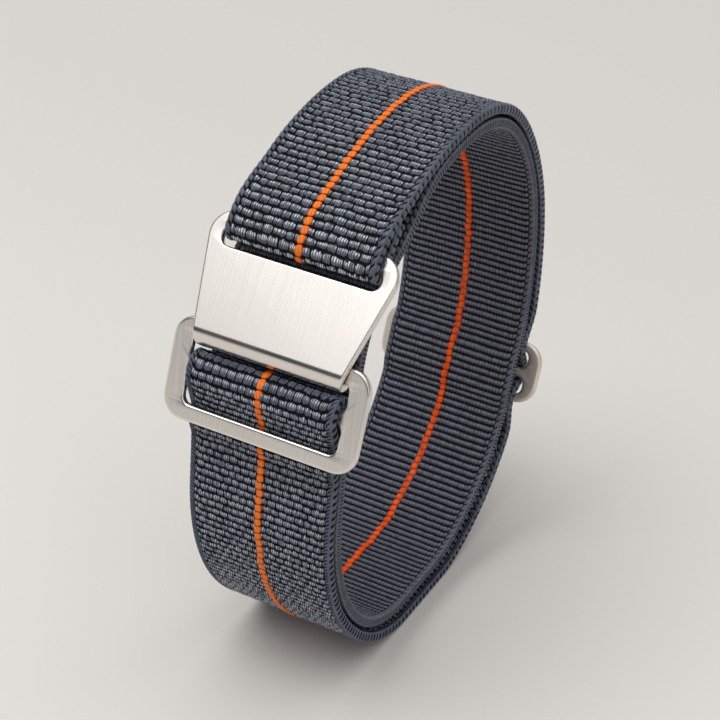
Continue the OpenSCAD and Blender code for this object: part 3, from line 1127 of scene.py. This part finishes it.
class WovenStrapTree(RouteTree):
    """Weaves a run of webbing: a closed section with corded edges, and blocks of yarn in rows."""

    FIRST_TURN = 1.00001
    EDGE_FLATTENING = 0.55
    CURL_RIM = (1.7, 0.3)
    DRIFT_SCALE = (0.45, 0.5)
    SPREAD_SCALE = (0.55, 5.3)
    MOST_BLOCKS = 64
    CROWN_LOSS = 0.2

    def __init__(self, steps: MeshSteps) -> None:
        """Makes the tree with an input for each size of the weave."""
        self.steps = steps
        super().__init__("woven_strap", ("end", "edge_round", *(size.name for size in fields(WeaveSizes))))

    def write(self) -> None:
        """Writes the tree from a cylinder whose points are moved to the webbing's section."""
        w, z, around = self.w, self.inputs, self.steps.around
        tube = w.add(
            "GeometryNodeMeshCylinder",
            {"Vertices": around, "Side Segments": z.rows, "Radius": 1.0, "Depth": 1.0},
            fill_type="NGON",
        )
        x, y, height = w.split(w.add("GeometryNodeInputPosition").outputs[0])
        place = w.math("FRACT", w.math("ARCTAN2", y, x) / math.tau + self.FIRST_TURN) * around
        distance = (height + 0.5) * (z.end - z.start) + z.start
        first, shares = 0, []
        for count in self.steps.section:
            shares.append(w.math("DIVIDE", place - first, count, clamp=True))
            first += count
        face, right, back, left = shares
        run = (face - back) * 2 - 1
        bulge = w.math("SINE", right * math.pi) - w.math("SINE", left * math.pi)
        side = w.math("COSINE", (right - left) * math.pi)
        across = (z.width * 0.5 - z.edge_round) * run + z.edge_round * bulge
        weave, height = self._pattern(across, distance)
        relief = (height - 1) * z.depth * (1 - abs(bulge) * self.EDGE_FLATTENING)
        off = side * (z.thickness * 0.5 + relief)
        self.set_and_finish(tube.outputs["Mesh"], weave, bulge * relief + across, off, distance)

    def _pattern(self, across: Value, distance: Value) -> tuple[Value, Value]:
        """Places a point in the weave.

        Rows wander a little and curl at the selvedge, blocks of one row lie between those of the next,
        and their widths differ.

        Args:
            across: Distance across the strap.
            distance: Distance along the route.

        Returns:
            The weave's coordinates and its height.
        """
        w, z = self.w, self.inputs
        rim = z.width * 0.5 - abs(across)
        drift = w.stretched_noise(across, distance, self.DRIFT_SCALE, 1.0)
        curl = w.step(rim, *self.CURL_RIM) * z.curl
        moved = (drift - 0.5) * z.wander * 2 + distance - curl
        row = moved // z.row
        loose = (self.chance(z.seed, row) - 0.5) * z.wander
        widths = w.stretched_noise(across, row, self.SPREAD_SCALE, 0.0)
        shifted = (row % 2 * z.stagger + loose) * z.block + (across + (widths - 0.5) * z.spread)
        block = row * self.MOST_BLOCKS + shifted // z.block
        crown = 1 - self.chance(z.seed + 1, block) * self.CROWN_LOSS
        height = WeavePattern(w, z).height(shifted, moved, rim, w.wave(moved, z.row), crown)
        return w.combine(shifted, moved, rim), height


class StripeTree(RouteTree):
    """Lays a chain of round beads of yarn along the middle of the webbing."""

    def __init__(self) -> None:
        """Makes the tree with the inputs of the beads."""
        super().__init__("stripe_chain", ("pitch", "slant", "level", "fullness", "wobble"))

    def write(self) -> None:
        """Writes the tree from balls set along a straight line, which is then bent along the route."""
        w, z = self.w, self.inputs
        middle = w.combine(0.0, 0.0, z.pitch * 0.5 + z.start)
        line = w.value(
            "GeometryNodeMeshLine",
            {"Count": z.rows, "Start Location": middle, "Offset": w.combine(0.0, 0.0, z.pitch)},
            mode="OFFSET",
        )
        sideways = w.combine((self.chance(z.seed) - 0.5) * z.wobble, 0.0, 0.0)
        strewn = w.value("GeometryNodeSetPosition", {"Geometry": line, "Offset": sideways})
        size = w.combine(z.width, z.thickness, z.pitch)
        beads = w.value(
            "GeometryNodeInstanceOnPoints", {"Points": strewn, "Instance": self._bead(), "Scale": size}
        )
        real = w.value("GeometryNodeRealizeInstances", {"Geometry": beads})
        across, off, s = w.split(w.add("GeometryNodeInputPosition").outputs[0])
        weave = w.combine(across, s, off)
        self.set_and_finish(real, weave, across, off + z.level, across * z.slant + s)

    def _bead(self) -> Value:
        """Makes one bead: a ball that is filled out towards a rounded brick.

        Returns:
            The bead's geometry, 1 mm each way.
        """
        w, power = self.w, self.inputs.fullness
        ball = w.add("GeometryNodeMeshUVSphere", {"Segments": 20, "Rings": 12, "Radius": 0.5})
        position = w.value("GeometryNodeInputPosition")
        x, y, z = (abs(part) ** power for part in w.split(w.scaled(position, 2.0)))
        reach = (x + y + z) ** w.math("DIVIDE", -1.0, power)
        inputs = {"Geometry": ball.outputs["Mesh"], "Position": w.scaled(position, reach)}
        return w.value("GeometryNodeSetPosition", inputs)


class Finish:
    """Builds a material from the inputs that a kind of finish gives its shader."""

    def material(self, name: str) -> bpy.types.Material:
        """Builds the material.

        Args:
            name: Name of the material.

        Returns:
            The new material.
        """
        material = bpy.data.materials.new(name)
        material.use_nodes = True
        w = TreeWriter(material.node_tree)
        shader = w.add("ShaderNodeBsdfPrincipled", self.shading(w))
        w.add("ShaderNodeOutputMaterial", {"Surface": shader.outputs[0]})
        return material

    def shading(self, w: TreeWriter) -> Inputs:
        """Gives the shader its inputs."""
        raise NotImplementedError

    @staticmethod
    def weave_place(w: TreeWriter) -> list[Value]:
        """Reads the coordinates that the node trees store on a piece."""
        return w.split(w.add("ShaderNodeAttribute", attribute_name="weave").outputs["Vector"])


@dataclass(frozen=True)
class WebbingFinish(Finish):
    """Woven elastic nylon: rows of fine blue-grey yarns, with painted shade that makes the gaps between the
    blocks near-black.
    """

    weave: WeaveSizes
    yarn: str = "#727a8a"
    dull_yarn: str = "#484e5b"
    # Colour of the painted highlights on the thread ends
    painted_highlight: str = "#d0d4db"
    # Colour of the painted shade in the gaps between blocks
    gap: str = "#040509"
    thread: float = 0.28
    serration: float = 0.34
    gap_low: float = 0.46
    gap_high: float = 0.78
    # Share of painted shade in the grooves between threads
    between: float = 0.6
    edge_dull: float = 0.42
    own_dull: float = 0.4
    block_dull: float = 0.35
    fuzz_dull: float = 0.4
    fuzz_scale: tuple[float, float] = (7.0, 4.5)
    fuzz_relief: float = 0.03
    thread_relief: float = 0.06
    face_soft: float = 0.1
    # Where the painted highlights fall on each row and thread, and how likely a thread is to get one
    tip_from: tuple[float, float] = (0.4, 0.66)
    tip_width: tuple[float, float] = (0.6, 0.1)
    wear: float = 0.6
    fuzz_highlight: float = 0.8
    highlight_from: tuple[float, float] = (0.3, 0.8)
    relief: float = 0.16
    gloss: float = 0.35
    roughness: float = 0.4

    def shading(self, w: TreeWriter) -> Inputs:
        """Shades threads, paints highlights on the later half of each row's threads and paints shade into
        the gaps between blocks and between threads.

        Args:
            w: Writer of the material's tree.

        Returns:
            The shader's inputs.
        """
        z = self.weave
        shifted, moved, rim = self.weave_place(w)
        row = moved // z.row
        cell = {"Vector": w.combine(shifted // self.thread, row, 0.0)}
        end, own_shade, wear = w.split(
            w.value("ShaderNodeTexWhiteNoise", cell, "Color", noise_dimensions="3D")
        )
        ends = (end - 0.5) * self.serration + w.wave(moved, z.row)
        pattern = WeavePattern(w, z)
        level = pattern.height(shifted, moved, rim, w.math("MAXIMUM", ends, 0.0))
        face_from = pattern.CORDS[0]
        on_face = w.step(rim, face_from, face_from + self.face_soft)
        on_thread = w.wave(shifted, self.thread) ** 2 * on_face
        fine = w.combine(shifted * self.fuzz_scale[0], moved * self.fuzz_scale[1], rim)
        fuzz = w.noise(fine, 2.0, 0.6)
        block = {"Vector": w.combine(shifted // z.block, row, 3.0)}
        shade = w.value("ShaderNodeTexWhiteNoise", block, "Value", noise_dimensions="3D")
        own = (own_shade * self.own_dull - self.edge_dull) * on_face
        dull = own + self.edge_dull + (shade * self.block_dull + fuzz * self.fuzz_dull)
        # Painted highlight: on the later half of each row, threads take the lighter yarn colour at random,
        # standing in for light on their curved ends
        tip = w.step(w.math("FRACT", moved / z.row), *self.tip_from) * w.step(on_thread, *self.tip_width)
        tip_highlight = tip * on_face * w.step(wear * self.wear + fuzz * self.fuzz_highlight, *self.highlight_from)
        base = w.colours(tip_highlight, w.colours(dull, self.yarn, self.dull_yarn), self.painted_highlight)
        # Painted shade: the gaps between blocks and the grooves between threads take the near-black gap
        # colour
        gap = w.step(level, self.gap_high, self.gap_low)
        dark = w.math("MAXIMUM", gap, on_thread * self.between)
        height = level * self.relief + (fuzz * self.fuzz_relief - on_thread * self.thread_relief)
        return {
            "Base Color": w.colours(dark, base, self.gap),
            "Roughness": dark * (1.0 - self.roughness) + self.roughness,
            "Normal": w.bump(height, 1.0, MM),
            "Specular IOR Level": self.gloss,
        }


@dataclass(frozen=True)
class StripeFinish(Finish):
    """Bright orange polyester yarn, with a painted highlight on each bead's crown and painted shade in its
    dips and where beads meet.
    """

    yarn: str = "#fd7a1c"
    # Colour of the painted highlight on the bead crowns
    painted_highlight: str = "#ffa04c"
    # Colour of the painted shade in the dips and notches
    dark: str = "#6e2206"
    strand: float = 0.36
    fibres: int = 5
    twist: float = 0.22
    notch: float = 0.3
    fibre_shade: float = 0.12
    fibre_relief: float = 0.25
    crown_share: float = 0.6
    dip_at: tuple[float, float] = (0.25, 0.08)
    crown_at: tuple[float, float] = (0.22, 0.31)
    relief: float = 0.06
    gloss: float = 0.25
    roughness: float = 0.6

    def shading(self, w: TreeWriter) -> Inputs:
        """Shades the strands of the beads, paints a highlight on each bead's crown and paints shade into
        the dips and notches between them.

        Args:
            w: Writer of the material's tree.

        Returns:
            The shader's inputs.
        """
        across, s, off = self.weave_place(w)
        lean = s * self.twist + across
        strand = w.wave(lean, self.strand)
        fibre = w.wave(lean, self.strand / self.fibres)
        notch = w.step(strand, 0.5, 1.0) * self.notch
        # Painted shade: the dips under the beads, the notches between strands and the fine lines between
        # fibres go towards the dark colour
        shade = w.math("MAXIMUM", w.step(off, *self.dip_at), fibre * self.fibre_shade + notch)
        # Painted highlight: each bead's crown goes towards the lighter yarn colour
        crown = w.step(strand, 0.6, 0.1) * w.step(off, *self.crown_at)
        base = w.colours(crown * self.crown_share, self.yarn, self.painted_highlight)
        return {
            "Base Color": w.colours(shade, base, self.dark),
            "Roughness": self.roughness,
            "Normal": w.bump(1 - (fibre * self.fibre_relief + strand), 0.5, self.relief * MM),
            "Specular IOR Level": self.gloss,
        }


@dataclass(frozen=True)
class SteelFinish(Finish):
    """Brushed stainless steel: pale and warm, with fine grain lines that run along the piece."""

    colour: str = "#e5e0db"
    dull: str = "#d7d1cb"
    roughness: float = 0.2
    unevenness: float = 0.08
    grain: float = 0.12
    grain_length: float = 10.0
    lean: float = 0.1
    cloud_scale: float = 200.0
    dull_from: tuple[float, float] = (0.3, 0.75)
    relief: float = 0.012
    relief_depth: float = 0.02

    def shading(self, w: TreeWriter) -> Inputs:
        """Shades the grain and a slight unevenness of the polish.

        Args:
            w: Writer of the material's tree.

        Returns:
            The shader's inputs.
        """
        where = w.value("ShaderNodeTexCoord", output="Object")
        x, y, z = w.split(where)
        across = z * self.lean + x
        fine = w.combine(across / (self.grain * MM), (y - z) * (1 / (self.grain_length * MM)), y)
        lines = w.noise(fine, 3.0, 0.65)
        cloud = w.noise(where, 1.0, scale=self.cloud_scale)
        worn = cloud * self.unevenness + (self.roughness - self.unevenness)
        return {
            "Base Color": w.colours(w.step(lines, *self.dull_from), self.colour, self.dull),
            "Metallic": 1.0,
            "Roughness": lines * self.unevenness + worn,
            "Normal": w.bump(lines, self.relief, self.relief_depth * MM),
        }


@dataclass(frozen=True)
class FloorFinish(Finish):
    """Matt pale paper under the band, with painted shade that makes it a little darker towards the back.
    Near and far are in metres.
    """

    colour: str = "#d6d3ce"
    # Colour of the painted shade at the back of the paper
    shaded_far_colour: str = "#cdcac5"
    near: float = -0.03
    far: float = 0.14
    roughness: float = 0.9
    gloss: float = 0.1

    def shading(self, w: TreeWriter) -> Inputs:
        """Paints shade on the paper by its distance towards the back.

        Args:
            w: Writer of the material's tree.

        Returns:
            The shader's inputs.
        """
        depth = w.split(w.add("ShaderNodeTexCoord").outputs["Object"])[1]
        # Painted shade: the paper turns to the darker far colour towards the back, standing in for light
        # falling off there
        return {
            "Base Color": w.colours(w.step(depth, self.near, self.far), self.colour, self.shaded_far_colour),
            "Roughness": self.roughness,
            "Specular IOR Level": self.gloss,
        }


@dataclass(frozen=True)
class Plate:
    """A flat plate with rounded edges, made in its own frame in millimetres from an outline and windows."""

    name: str
    thickness: float
    edge_round: float
    outlines: list[list[Point]]

    BEVEL_STEPS = 4
    WELD = 0.002
    LEAST_SIDE = 0.01

    @staticmethod
    def rounded(width: float, y0: float, y1: float, r: float, steps: int = 8) -> list[Point]:
        """Rounded rectangle centred on x = 0.

        Args:
            width: Width across.
            y0: Lower edge.
            y1: Upper edge.
            r: Corner radius.
            steps: Steps in each corner.

        Returns:
            The outline.
        """
        r = min(r, (y1 - y0) / 2 - Plate.LEAST_SIDE)
        x = width / 2 - r
        centres = (complex(x, y0 + r), complex(x, y1 - r), complex(-x, y1 - r), complex(-x, y0 + r))
        points = []
        for quarter, centre in enumerate(centres):
            turns = (90 * (quarter - 1 + i / steps) for i in range(steps + 1))
            points += [centre + r * outward(turn) for turn in turns]
        return points

    def mesh(self) -> bpy.types.Mesh:
        """Fills the outlines and rounds the edges.

        Returns:
            A closed mesh in millimetres, centred on its thickness.
        """
        data = bpy.data.curves.new(self.name, "CURVE")
        data.dimensions = "2D"
        data.fill_mode = "BOTH"
        data.extrude = self.thickness / 2 - self.edge_round
        data.bevel_depth = self.edge_round
        data.bevel_resolution = self.BEVEL_STEPS
        data.offset = -self.edge_round
        for outline in self.outlines:
            add_spline(data, [(p.real, p.imag, 0.0) for p in outline], closed=True)
        holder = linked(self.name, data)
        mesh = evaluated(holder)
        bpy.data.objects.remove(holder)
        bpy.data.curves.remove(data)
        work = bmesh.new()
        work.from_mesh(mesh)
        bmesh.ops.remove_doubles(work, verts=work.verts, dist=self.WELD)
        bmesh.ops.recalc_face_normals(work, faces=work.faces)
        work.to_mesh(mesh)
        work.free()
        return mesh


def finished(name: str, mesh: bpy.types.Mesh, material: bpy.types.Material) -> bpy.types.Object:
    """Makes a piece of hardware with even shading over its flats and edges.

    Args:
        name: Name of the piece.
        mesh: Its mesh in metres.
        material: Its material.

    Returns:
        The piece at the origin.
    """
    for polygon in mesh.polygons:
        polygon.use_smooth = True
    mesh.materials.clear()
    mesh.materials.append(material)
    piece = linked(name, mesh)
    weighted = piece.modifiers.new("weighted", "WEIGHTED_NORMAL")
    weighted.weight = 100
    shaded = evaluated(piece)
    piece.modifiers.clear()
    piece.data = shaded
    shaded.name = name
    bpy.data.meshes.remove(mesh)
    return piece


class Strap:
    """The webbing: one woven strip with its stripe, made run by run along the route."""

    WEAVE_OF = {"frame_fold": Weave.FRONT, "outer_bottom": Weave.FRONT, "inner": Weave.INNER}
    WEAVE_SEED = 7
    STRIPE_SEED = 11

    def __init__(self, layout: BandLayout) -> None:
        """Makes the route, the node trees and the materials.

        Args:
            layout: Where everything lies.
        """
        self.layout = layout
        self.sizes = layout.webbing
        self.stripe = StripeSizes()
        self.steps = MeshSteps()
        self.route = StrapRoute(layout.runs)
        self.woven = WovenStrapTree(self.steps)
        self.chain = StripeTree()
        self.cloth = {
            kind: finish.material(f"webbing_{kind.value}") for kind, finish in self._finishes().items()
        }
        self.yarn = StripeFinish().material("stripe_yarn")
        # Shaded copy of the stripe yarn for the inner face: its deeper orange-red colour stands in for the
        # shade there; its wider strands and rougher finish are its own
        self.shaded_inner_yarn = StripeFinish(
            yarn="#f0560f", painted_highlight="#ff7a3a", dark="#a03206", strand=1.4, roughness=0.7
        ).material("stripe_yarn_inner")

    @staticmethod
    def _finishes() -> dict[Weave, WebbingFinish]:
        """Gives each weave its finish. The inner face is darker, with painted shade spread over more of
        each rib, and its ribs are smoother.

        Returns:
            The finishes.
        """
        # Each finish has its own colours for the painted highlights on the thread ends and the painted
        # shade in the gaps
        front = WebbingFinish(
            WEAVES[Weave.FRONT],
            yarn="#70768a",
            dull_yarn="#4a4f60",
            painted_highlight="#b9bdc9",
            thread=0.275,
            serration=0.26,
            gap_low=0.42,
            gap_high=0.74,
            gloss=0.3,
        )
        inner = WebbingFinish(
            WEAVES[Weave.INNER],
            yarn="#7c7f8b",
            dull_yarn="#5e606c",
            painted_highlight="#9c9eaa",
            gap="#1b1b25",
            thread=0.25,
            serration=0.1,
            gap_low=0.25,
            gap_high=0.85,
            between=0.25,
            gloss=0.15,
        )
        return {Weave.TOP: WebbingFinish(WEAVES[Weave.TOP]), Weave.FRONT: front, Weave.INNER: inner}

    def build(self) -> None:
        """Makes every run, sets what it rides on and takes the route away."""
        for name, (start, end) in self.route.spans.items():
            rows = (end - start) / self.steps.row_gap
            parts = math.ceil(2 * rows * self.steps.around / self.steps.most_triangles)
            for index in range(parts):
                a = start + (end - start) * index / parts
                b = start + (end - start) * (index + 1) / parts
                label = name if parts == 1 else f"{name}_{index + 1}"
                self._place(self._weave(f"band_{label}", name, a, b), name)
            self._place(self._beads(f"chain_{name}", start, end), name)
            log.info("%s: %.1f mm of webbing in %d pieces", name, end - start, parts)
        self.route.remove()

    def _weave(self, piece_name: str, run: str, start: float, end: float) -> bpy.types.Object:
        """Weaves one run of webbing.

        Args:
            piece_name: Name of the piece.
            run: Name of the run.
            start: Distance at which it starts.
            end: Distance at which it ends.

        Returns:
            The piece.
        """
        kind = self.WEAVE_OF.get(run, Weave.TOP)
        values = {
            "route": self.route.object,
            "start": start,
            "end": end,
            "rows": math.ceil((end - start) / self.steps.row_gap),
            "width": self.sizes.width,
            "thickness": self.sizes.thickness,
            "edge_round": self.sizes.edge_round,
            "seed": self.WEAVE_SEED,
            "material": self.cloth[kind],
            **asdict(WEAVES[kind]),
        }
        return self.woven.make(piece_name, values)

    def _beads(self, piece_name: str, start: float, end: float) -> bpy.types.Object:
        """Lays the stripe of one run.

        Args:
            piece_name: Name of the piece.
            start: Distance at which it starts.
            end: Distance at which it ends.

        Returns:
            The piece.
        """
        z = self.stripe
        count = max(1, round((end - start) / z.pitch))
        sink = z.fold_sink if piece_name == "chain_frame_fold" else z.sink
        values = {
            "route": self.route.object,
            "start": start,
            "rows": count,
            "width": z.width,
            "thickness": z.height,
            "pitch": (end - start) / count,
            "slant": z.slant,
            "level": self.sizes.thickness / 2 - sink,
            "fullness": z.fullness,
            "wobble": z.wobble,
            "seed": self.STRIPE_SEED,
            "material": self.shaded_inner_yarn if piece_name == "chain_inner" else self.yarn,
        }
        return self.chain.make(piece_name, values)

    def _place(self, piece: bpy.types.Object, run: str) -> None:
        """Hides the CAD node that a piece replaces and parents the piece to the body it rides on; the two
        runs beside the slide are not parented, their transform is baked into the mesh.

        Args:
            piece: The piece.
            run: Name of its run.
        """
        kind = "stripe" if piece.name.startswith("chain_") else "webbing"
        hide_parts(f"{kind}_{run}")
        ends = {"back_upper": (0, -1), "back_lower": (-1, 0)}
        if run in ends:
            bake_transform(piece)
        else:
            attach(piece, Body.SLIDER.value if run == "slider_weave" else Body.BAND.value)


class Hardware:
    """The clasp frame, the hook clasp and the slide adjuster."""

    BEND_STEPS = 20
    CUT_SNAP = 0.0005

    def __init__(self, layout: BandLayout) -> None:
        """Makes the two steels.

        Args:
            layout: Where everything lies.
        """
        self.layout = layout
        self.steel = SteelFinish().material("brushed_steel")
        self.satin = SteelFinish(
            colour="#eae1d7", dull="#e0d7cd", roughness=0.52, grain=0.2, relief=0.02
        ).material("satin_steel")
        self.slot_width = layout.webbing.width + 2 * layout.fits.side

    def build(self) -> None:
        """Makes the three pieces."""
        self._finish(self._frame(), "clasp_frame", Body.FRAME, self.layout.frame_seat)
        self._finish(self._slide(), "slide_adjuster", Body.SLIDER, self.layout.slide_seat)
        self._finish(self._hook(), "hook_clasp", Body.HOOK, self.layout.hook_seat)

    def _finish(self, mesh: bpy.types.Mesh, node: str, body: Body, seat: Seat) -> None:
        """Seats a piece, gives it its finish and sets what it rides on.

        Args:
            mesh: The flat piece's mesh in millimetres.
            node: CAD node that it stands for.
            body: Body that it rides on.
            seat: Its place in the side view.
        """
        place = seat.matrix(self.layout.shift)
        mesh.transform(place)
        if place.determinant() < 0:
            mesh.flip_normals()
        piece = finished(f"steel_{node}", mesh, self.satin if node == "slide_adjuster" else self.steel)
        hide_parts(node)
        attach(piece, body.value)
        log.info("%s: %d triangles", node, len(piece.data.polygons))

    def _window(self, y: float, length: float) -> list[Point]:
        """Outline of a window as wide as the webbing and its clearance."""
        return Plate.rounded(self.slot_width, y, y + length, self.layout.fits.slot_corner)

    def _frame(self) -> bpy.types.Mesh:
        """Three-bar clasp frame.

        Returns:
            Its mesh.
        """
        z, a = self.layout.frame, self.layout
        outlines = [
            Plate.rounded(z.width, a.frame_top, a.frame_bottom, z.corner),
            self._window(a.frame_top + z.top_bar, z.upper_window),
            self._window(z.middle_bar / 2, z.lower_window),
        ]
        return Plate("clasp_frame_plate", z.thickness, z.edge_round, outlines).mesh()

    def _slide(self) -> bpy.types.Mesh:
        """Three-bar slide adjuster.

        Returns:
            Its mesh.
        """
        z, half = self.layout.slide, self.layout.slide_half
        windows = [self._window(y, z.slot) for y in (-z.middle / 2 - z.slot, z.middle / 2)]
        outlines = [Plate.rounded(z.width, -half, half, z.corner), *windows]
        return Plate("slide_plate", z.thickness, z.edge_round, outlines).mesh()

    def _hook(self) -> bpy.types.Mesh:
        """Hook clasp: a tapered plate with a strap slot, bent round at its nose.

        Returns:
            Its mesh.
        """
        z, a = self.layout.hook, self.layout
        length = math.pi * a.hook_mid
        outline = self._hook_outline(a.hook_bend + length + z.lip)
        outlines = [outline, self._window(a.hook_top + z.strap_bar, z.strap_slot)]
        mesh = Plate("hook_plate", z.thickness, z.edge_round, outlines).mesh()
        self._cut_across(mesh, a.hook_bend, a.hook_bend + length)
        for vertex in mesh.vertices:
            vertex.co = self._bent(vertex.co, a.hook_bend, a.hook_mid, length)
        return mesh

    def _hook_outline(self, end: float) -> list[Point]:
        """Outline of the flat hook before it is bent.

        Args:
            end: Distance of the lip's edge.

        Returns:
            The outline.
        """
        z, a = self.layout.hook, self.layout
        nose, low = z.nose_width / 2, z.lip_corner
        corner = complex(z.top_width / 2 - z.corner - z.corner_inset, a.hook_top + z.corner)
        right = [corner + z.corner * outward(turn) for turn in range(-90, 11, 10)]
        right += [complex(nose, a.hook_nose), complex(nose, end - low)]
        right += [complex(nose - low, end - low) + low * outward(turn) for turn in range(0, 91, 10)]
        return right + [-p.conjugate() for p in reversed(right)]

    def _cut_across(self, mesh: bpy.types.Mesh, y0: float, y1: float) -> None:
        """Cuts a flat mesh across, so that it can be bent there.

        Args:
            mesh: The mesh.
            y0: First cut.
            y1: Last cut.
        """
        work = bmesh.new()
        work.from_mesh(mesh)
        for i in range(self.BEND_STEPS + 1):
            geometry = work.verts[:] + work.edges[:] + work.faces[:]
            y = y0 + (y1 - y0) * i / self.BEND_STEPS
            bmesh.ops.bisect_plane(
                work, geom=geometry, dist=self.CUT_SNAP, plane_co=(0, y, 0), plane_no=(0, 1, 0)
            )
        work.to_mesh(mesh)
        work.free()

    @staticmethod
    def _bent(p: Vector, start: float, radius: float, length: float) -> Vector:
        """Bends a point of the flat hook round the frame's top bar.

        Args:
            p: Point of the flat plate.
            start: Distance at which the bend starts.
            radius: Radius of the plate's middle.
            length: Length of the bend.

        Returns:
            The point of the finished hook.
        """
        if p.y <= start:
            return Vector((p.x, p.y, p.z + radius))
        turn = min((p.y - start) / radius, math.pi)
        rest = max(p.y - start - length, 0.0)
        r = radius + p.z
        return Vector((p.x, start + r * math.sin(turn) - rest, r * math.cos(turn)))


@dataclass(frozen=True)
class CameraSizes:
    """The photograph's viewpoint, in degrees and millimetres, and the clipping distances in metres."""

    azimuth: float = 26.643
    elevation: float = 31.149
    roll: float = 3.785
    distance: float = 234.998
    right: float = -2.527
    up: float = -0.454
    centre: tuple[float, float, float] = (0.0, 0.786, 35.675)
    lens: float = 90.0
    sensor: float = 36.0
    clip: tuple[float, float] = (0.01, 20.0)


@dataclass(frozen=True)
class Lamp:
    """A square lamp: its place and side in metres, and its power in watts."""

    name: str
    place: tuple[float, float, float]
    size: float
    power: float


@dataclass(frozen=True)
class Studio:
    """Plain studio: a pale floor, a pale sky with a dark band low round it, and three soft lamps."""

    camera: CameraSizes = CameraSizes()
    lamps: tuple[Lamp, ...] = (
        Lamp("key", (-0.32, -0.34, 1.05), 0.8, 5.0),
        Lamp("front", (-0.406, -0.728, 0.863), 0.54, 0.46),
        Lamp("side", (0.9, -0.6, 0.5), 0.5, 0.7),
    )
    lamp_aim: tuple[float, float, float] = (0.0, 0.0, 0.035)
    floor_half: float = 3.0
    sky: str = "#fbfafa"
    sky_strength: float = 0.66
    zenith_strength: float = 1.5
    wall_strength: float = 0.06
    side_wall_strength: float = 0.28
    wall_side: tuple[float, float] = (-0.41, -0.91)
    wall_turn: tuple[float, float] = (0.9, 0.78)
    wall_foot: float = 0.04
    wall_middle: float = 0.14
    wall_top: float = 0.52
    dome_foot: float = 0.58

    def build(self) -> None:
        """Makes the camera, the floor, the world and the lamps."""
        self._camera()
        self._floor()
        self._world()
        for lamp in self.lamps:
            self._hang(lamp)
        bpy.context.scene.view_settings.view_transform = "Standard"

    def _camera(self) -> None:
        """Puts the camera at the photograph's viewpoint."""
        z = self.camera
        a, e, r = (math.radians(v) for v in (z.azimuth, z.elevation, z.roll))
        back = Vector((math.sin(a) * math.cos(e), -math.cos(a) * math.cos(e), math.sin(e)))
        level = Vector((math.cos(a), math.sin(a), 0.0))
        upright = back.cross(level)
        right = math.cos(r) * level + math.sin(r) * upright
        up = -math.sin(r) * level + math.cos(r) * upright
        place = Vector(z.centre) + z.distance * back + z.right * right + z.up * up
        data = bpy.data.cameras.new("camera")
        data.lens = z.lens
        data.sensor_width = z.sensor
        data.clip_start, data.clip_end = z.clip
        camera = linked("camera", data)
        turn = Matrix((right, up, back)).transposed().to_4x4()
        camera.matrix_world = Matrix.Translation(place * MM) @ turn
        bpy.context.scene.camera = camera

    def _floor(self) -> None:
        """Lays the floor just under the band."""
        mesh = bpy.data.meshes.new("floor")
        size = self.floor_half
        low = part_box("webbing_outer_bottom")[0].z
        corners = ((-size, -size), (size, -size), (size, size), (-size, size))
        mesh.from_pydata([(x, y, low) for x, y in corners], [], [(0, 1, 2, 3)])
        mesh.materials.append(FloorFinish().material("floor_paper"))
        floor = linked("floor", mesh)
        floor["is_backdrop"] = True

    def _world(self) -> None:
        """Sets a pale sky with a grey band low round it, which is darkest at the front left."""
        world = bpy.data.worlds.new("sky")
        world.use_nodes = True
        w = TreeWriter(world.node_tree)
        x, y, height = w.split(w.add("ShaderNodeTexCoord").outputs["Generated"])
        facing = x * self.wall_side[0] + y * self.wall_side[1]
        lift = self.side_wall_strength - self.wall_strength
        wall = w.step(facing, *self.wall_turn) * lift + self.wall_strength
        rise = w.step(height, self.wall_top, self.dome_foot)
        fall = w.step(height, self.wall_middle, self.wall_foot)
        high = w.step(height, self.dome_foot, 1.0)
        dome = high * (self.zenith_strength - self.sky_strength) + self.sky_strength
        strength = w.math("MAXIMUM", rise, fall) * (dome - wall) + wall
        sky = w.add("ShaderNodeBackground", {"Color": self.sky, "Strength": strength})
        w.add("ShaderNodeOutputWorld", {"Surface": sky.outputs[0]})
        bpy.context.scene.world = world

    def _hang(self, lamp: Lamp) -> None:
        """Hangs a lamp that faces the band's middle.

        Args:
            lamp: The lamp.
        """
        data = bpy.data.lights.new(lamp.name, "AREA")
        data.size = lamp.size
        data.energy = lamp.power
        aim = Vector(self.lamp_aim) - Vector(lamp.place)
        turn = aim.to_track_quat("-Z", "Y").to_matrix().to_4x4()
        linked(lamp.name, data).matrix_world = Matrix.Translation(lamp.place) @ turn


def corners(bounds: tuple[Vector, Vector]) -> list[list[float]]:
    """Plain numbers of a box's lowest and highest corner."""
    return [[float(v) for v in corner] for corner in bounds]


def main() -> None:
    """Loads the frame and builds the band."""
    logging.basicConfig(level=logging.INFO, format="%(message)s")
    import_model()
    cad_box = corners(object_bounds())
    layout = BandLayout()
    Studio().build()
    Hardware(layout).build()
    Strap(layout).build()
    bpy.context.view_layer.update()
    visual_box = corners(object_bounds())


if __name__ == "__main__":
    main()
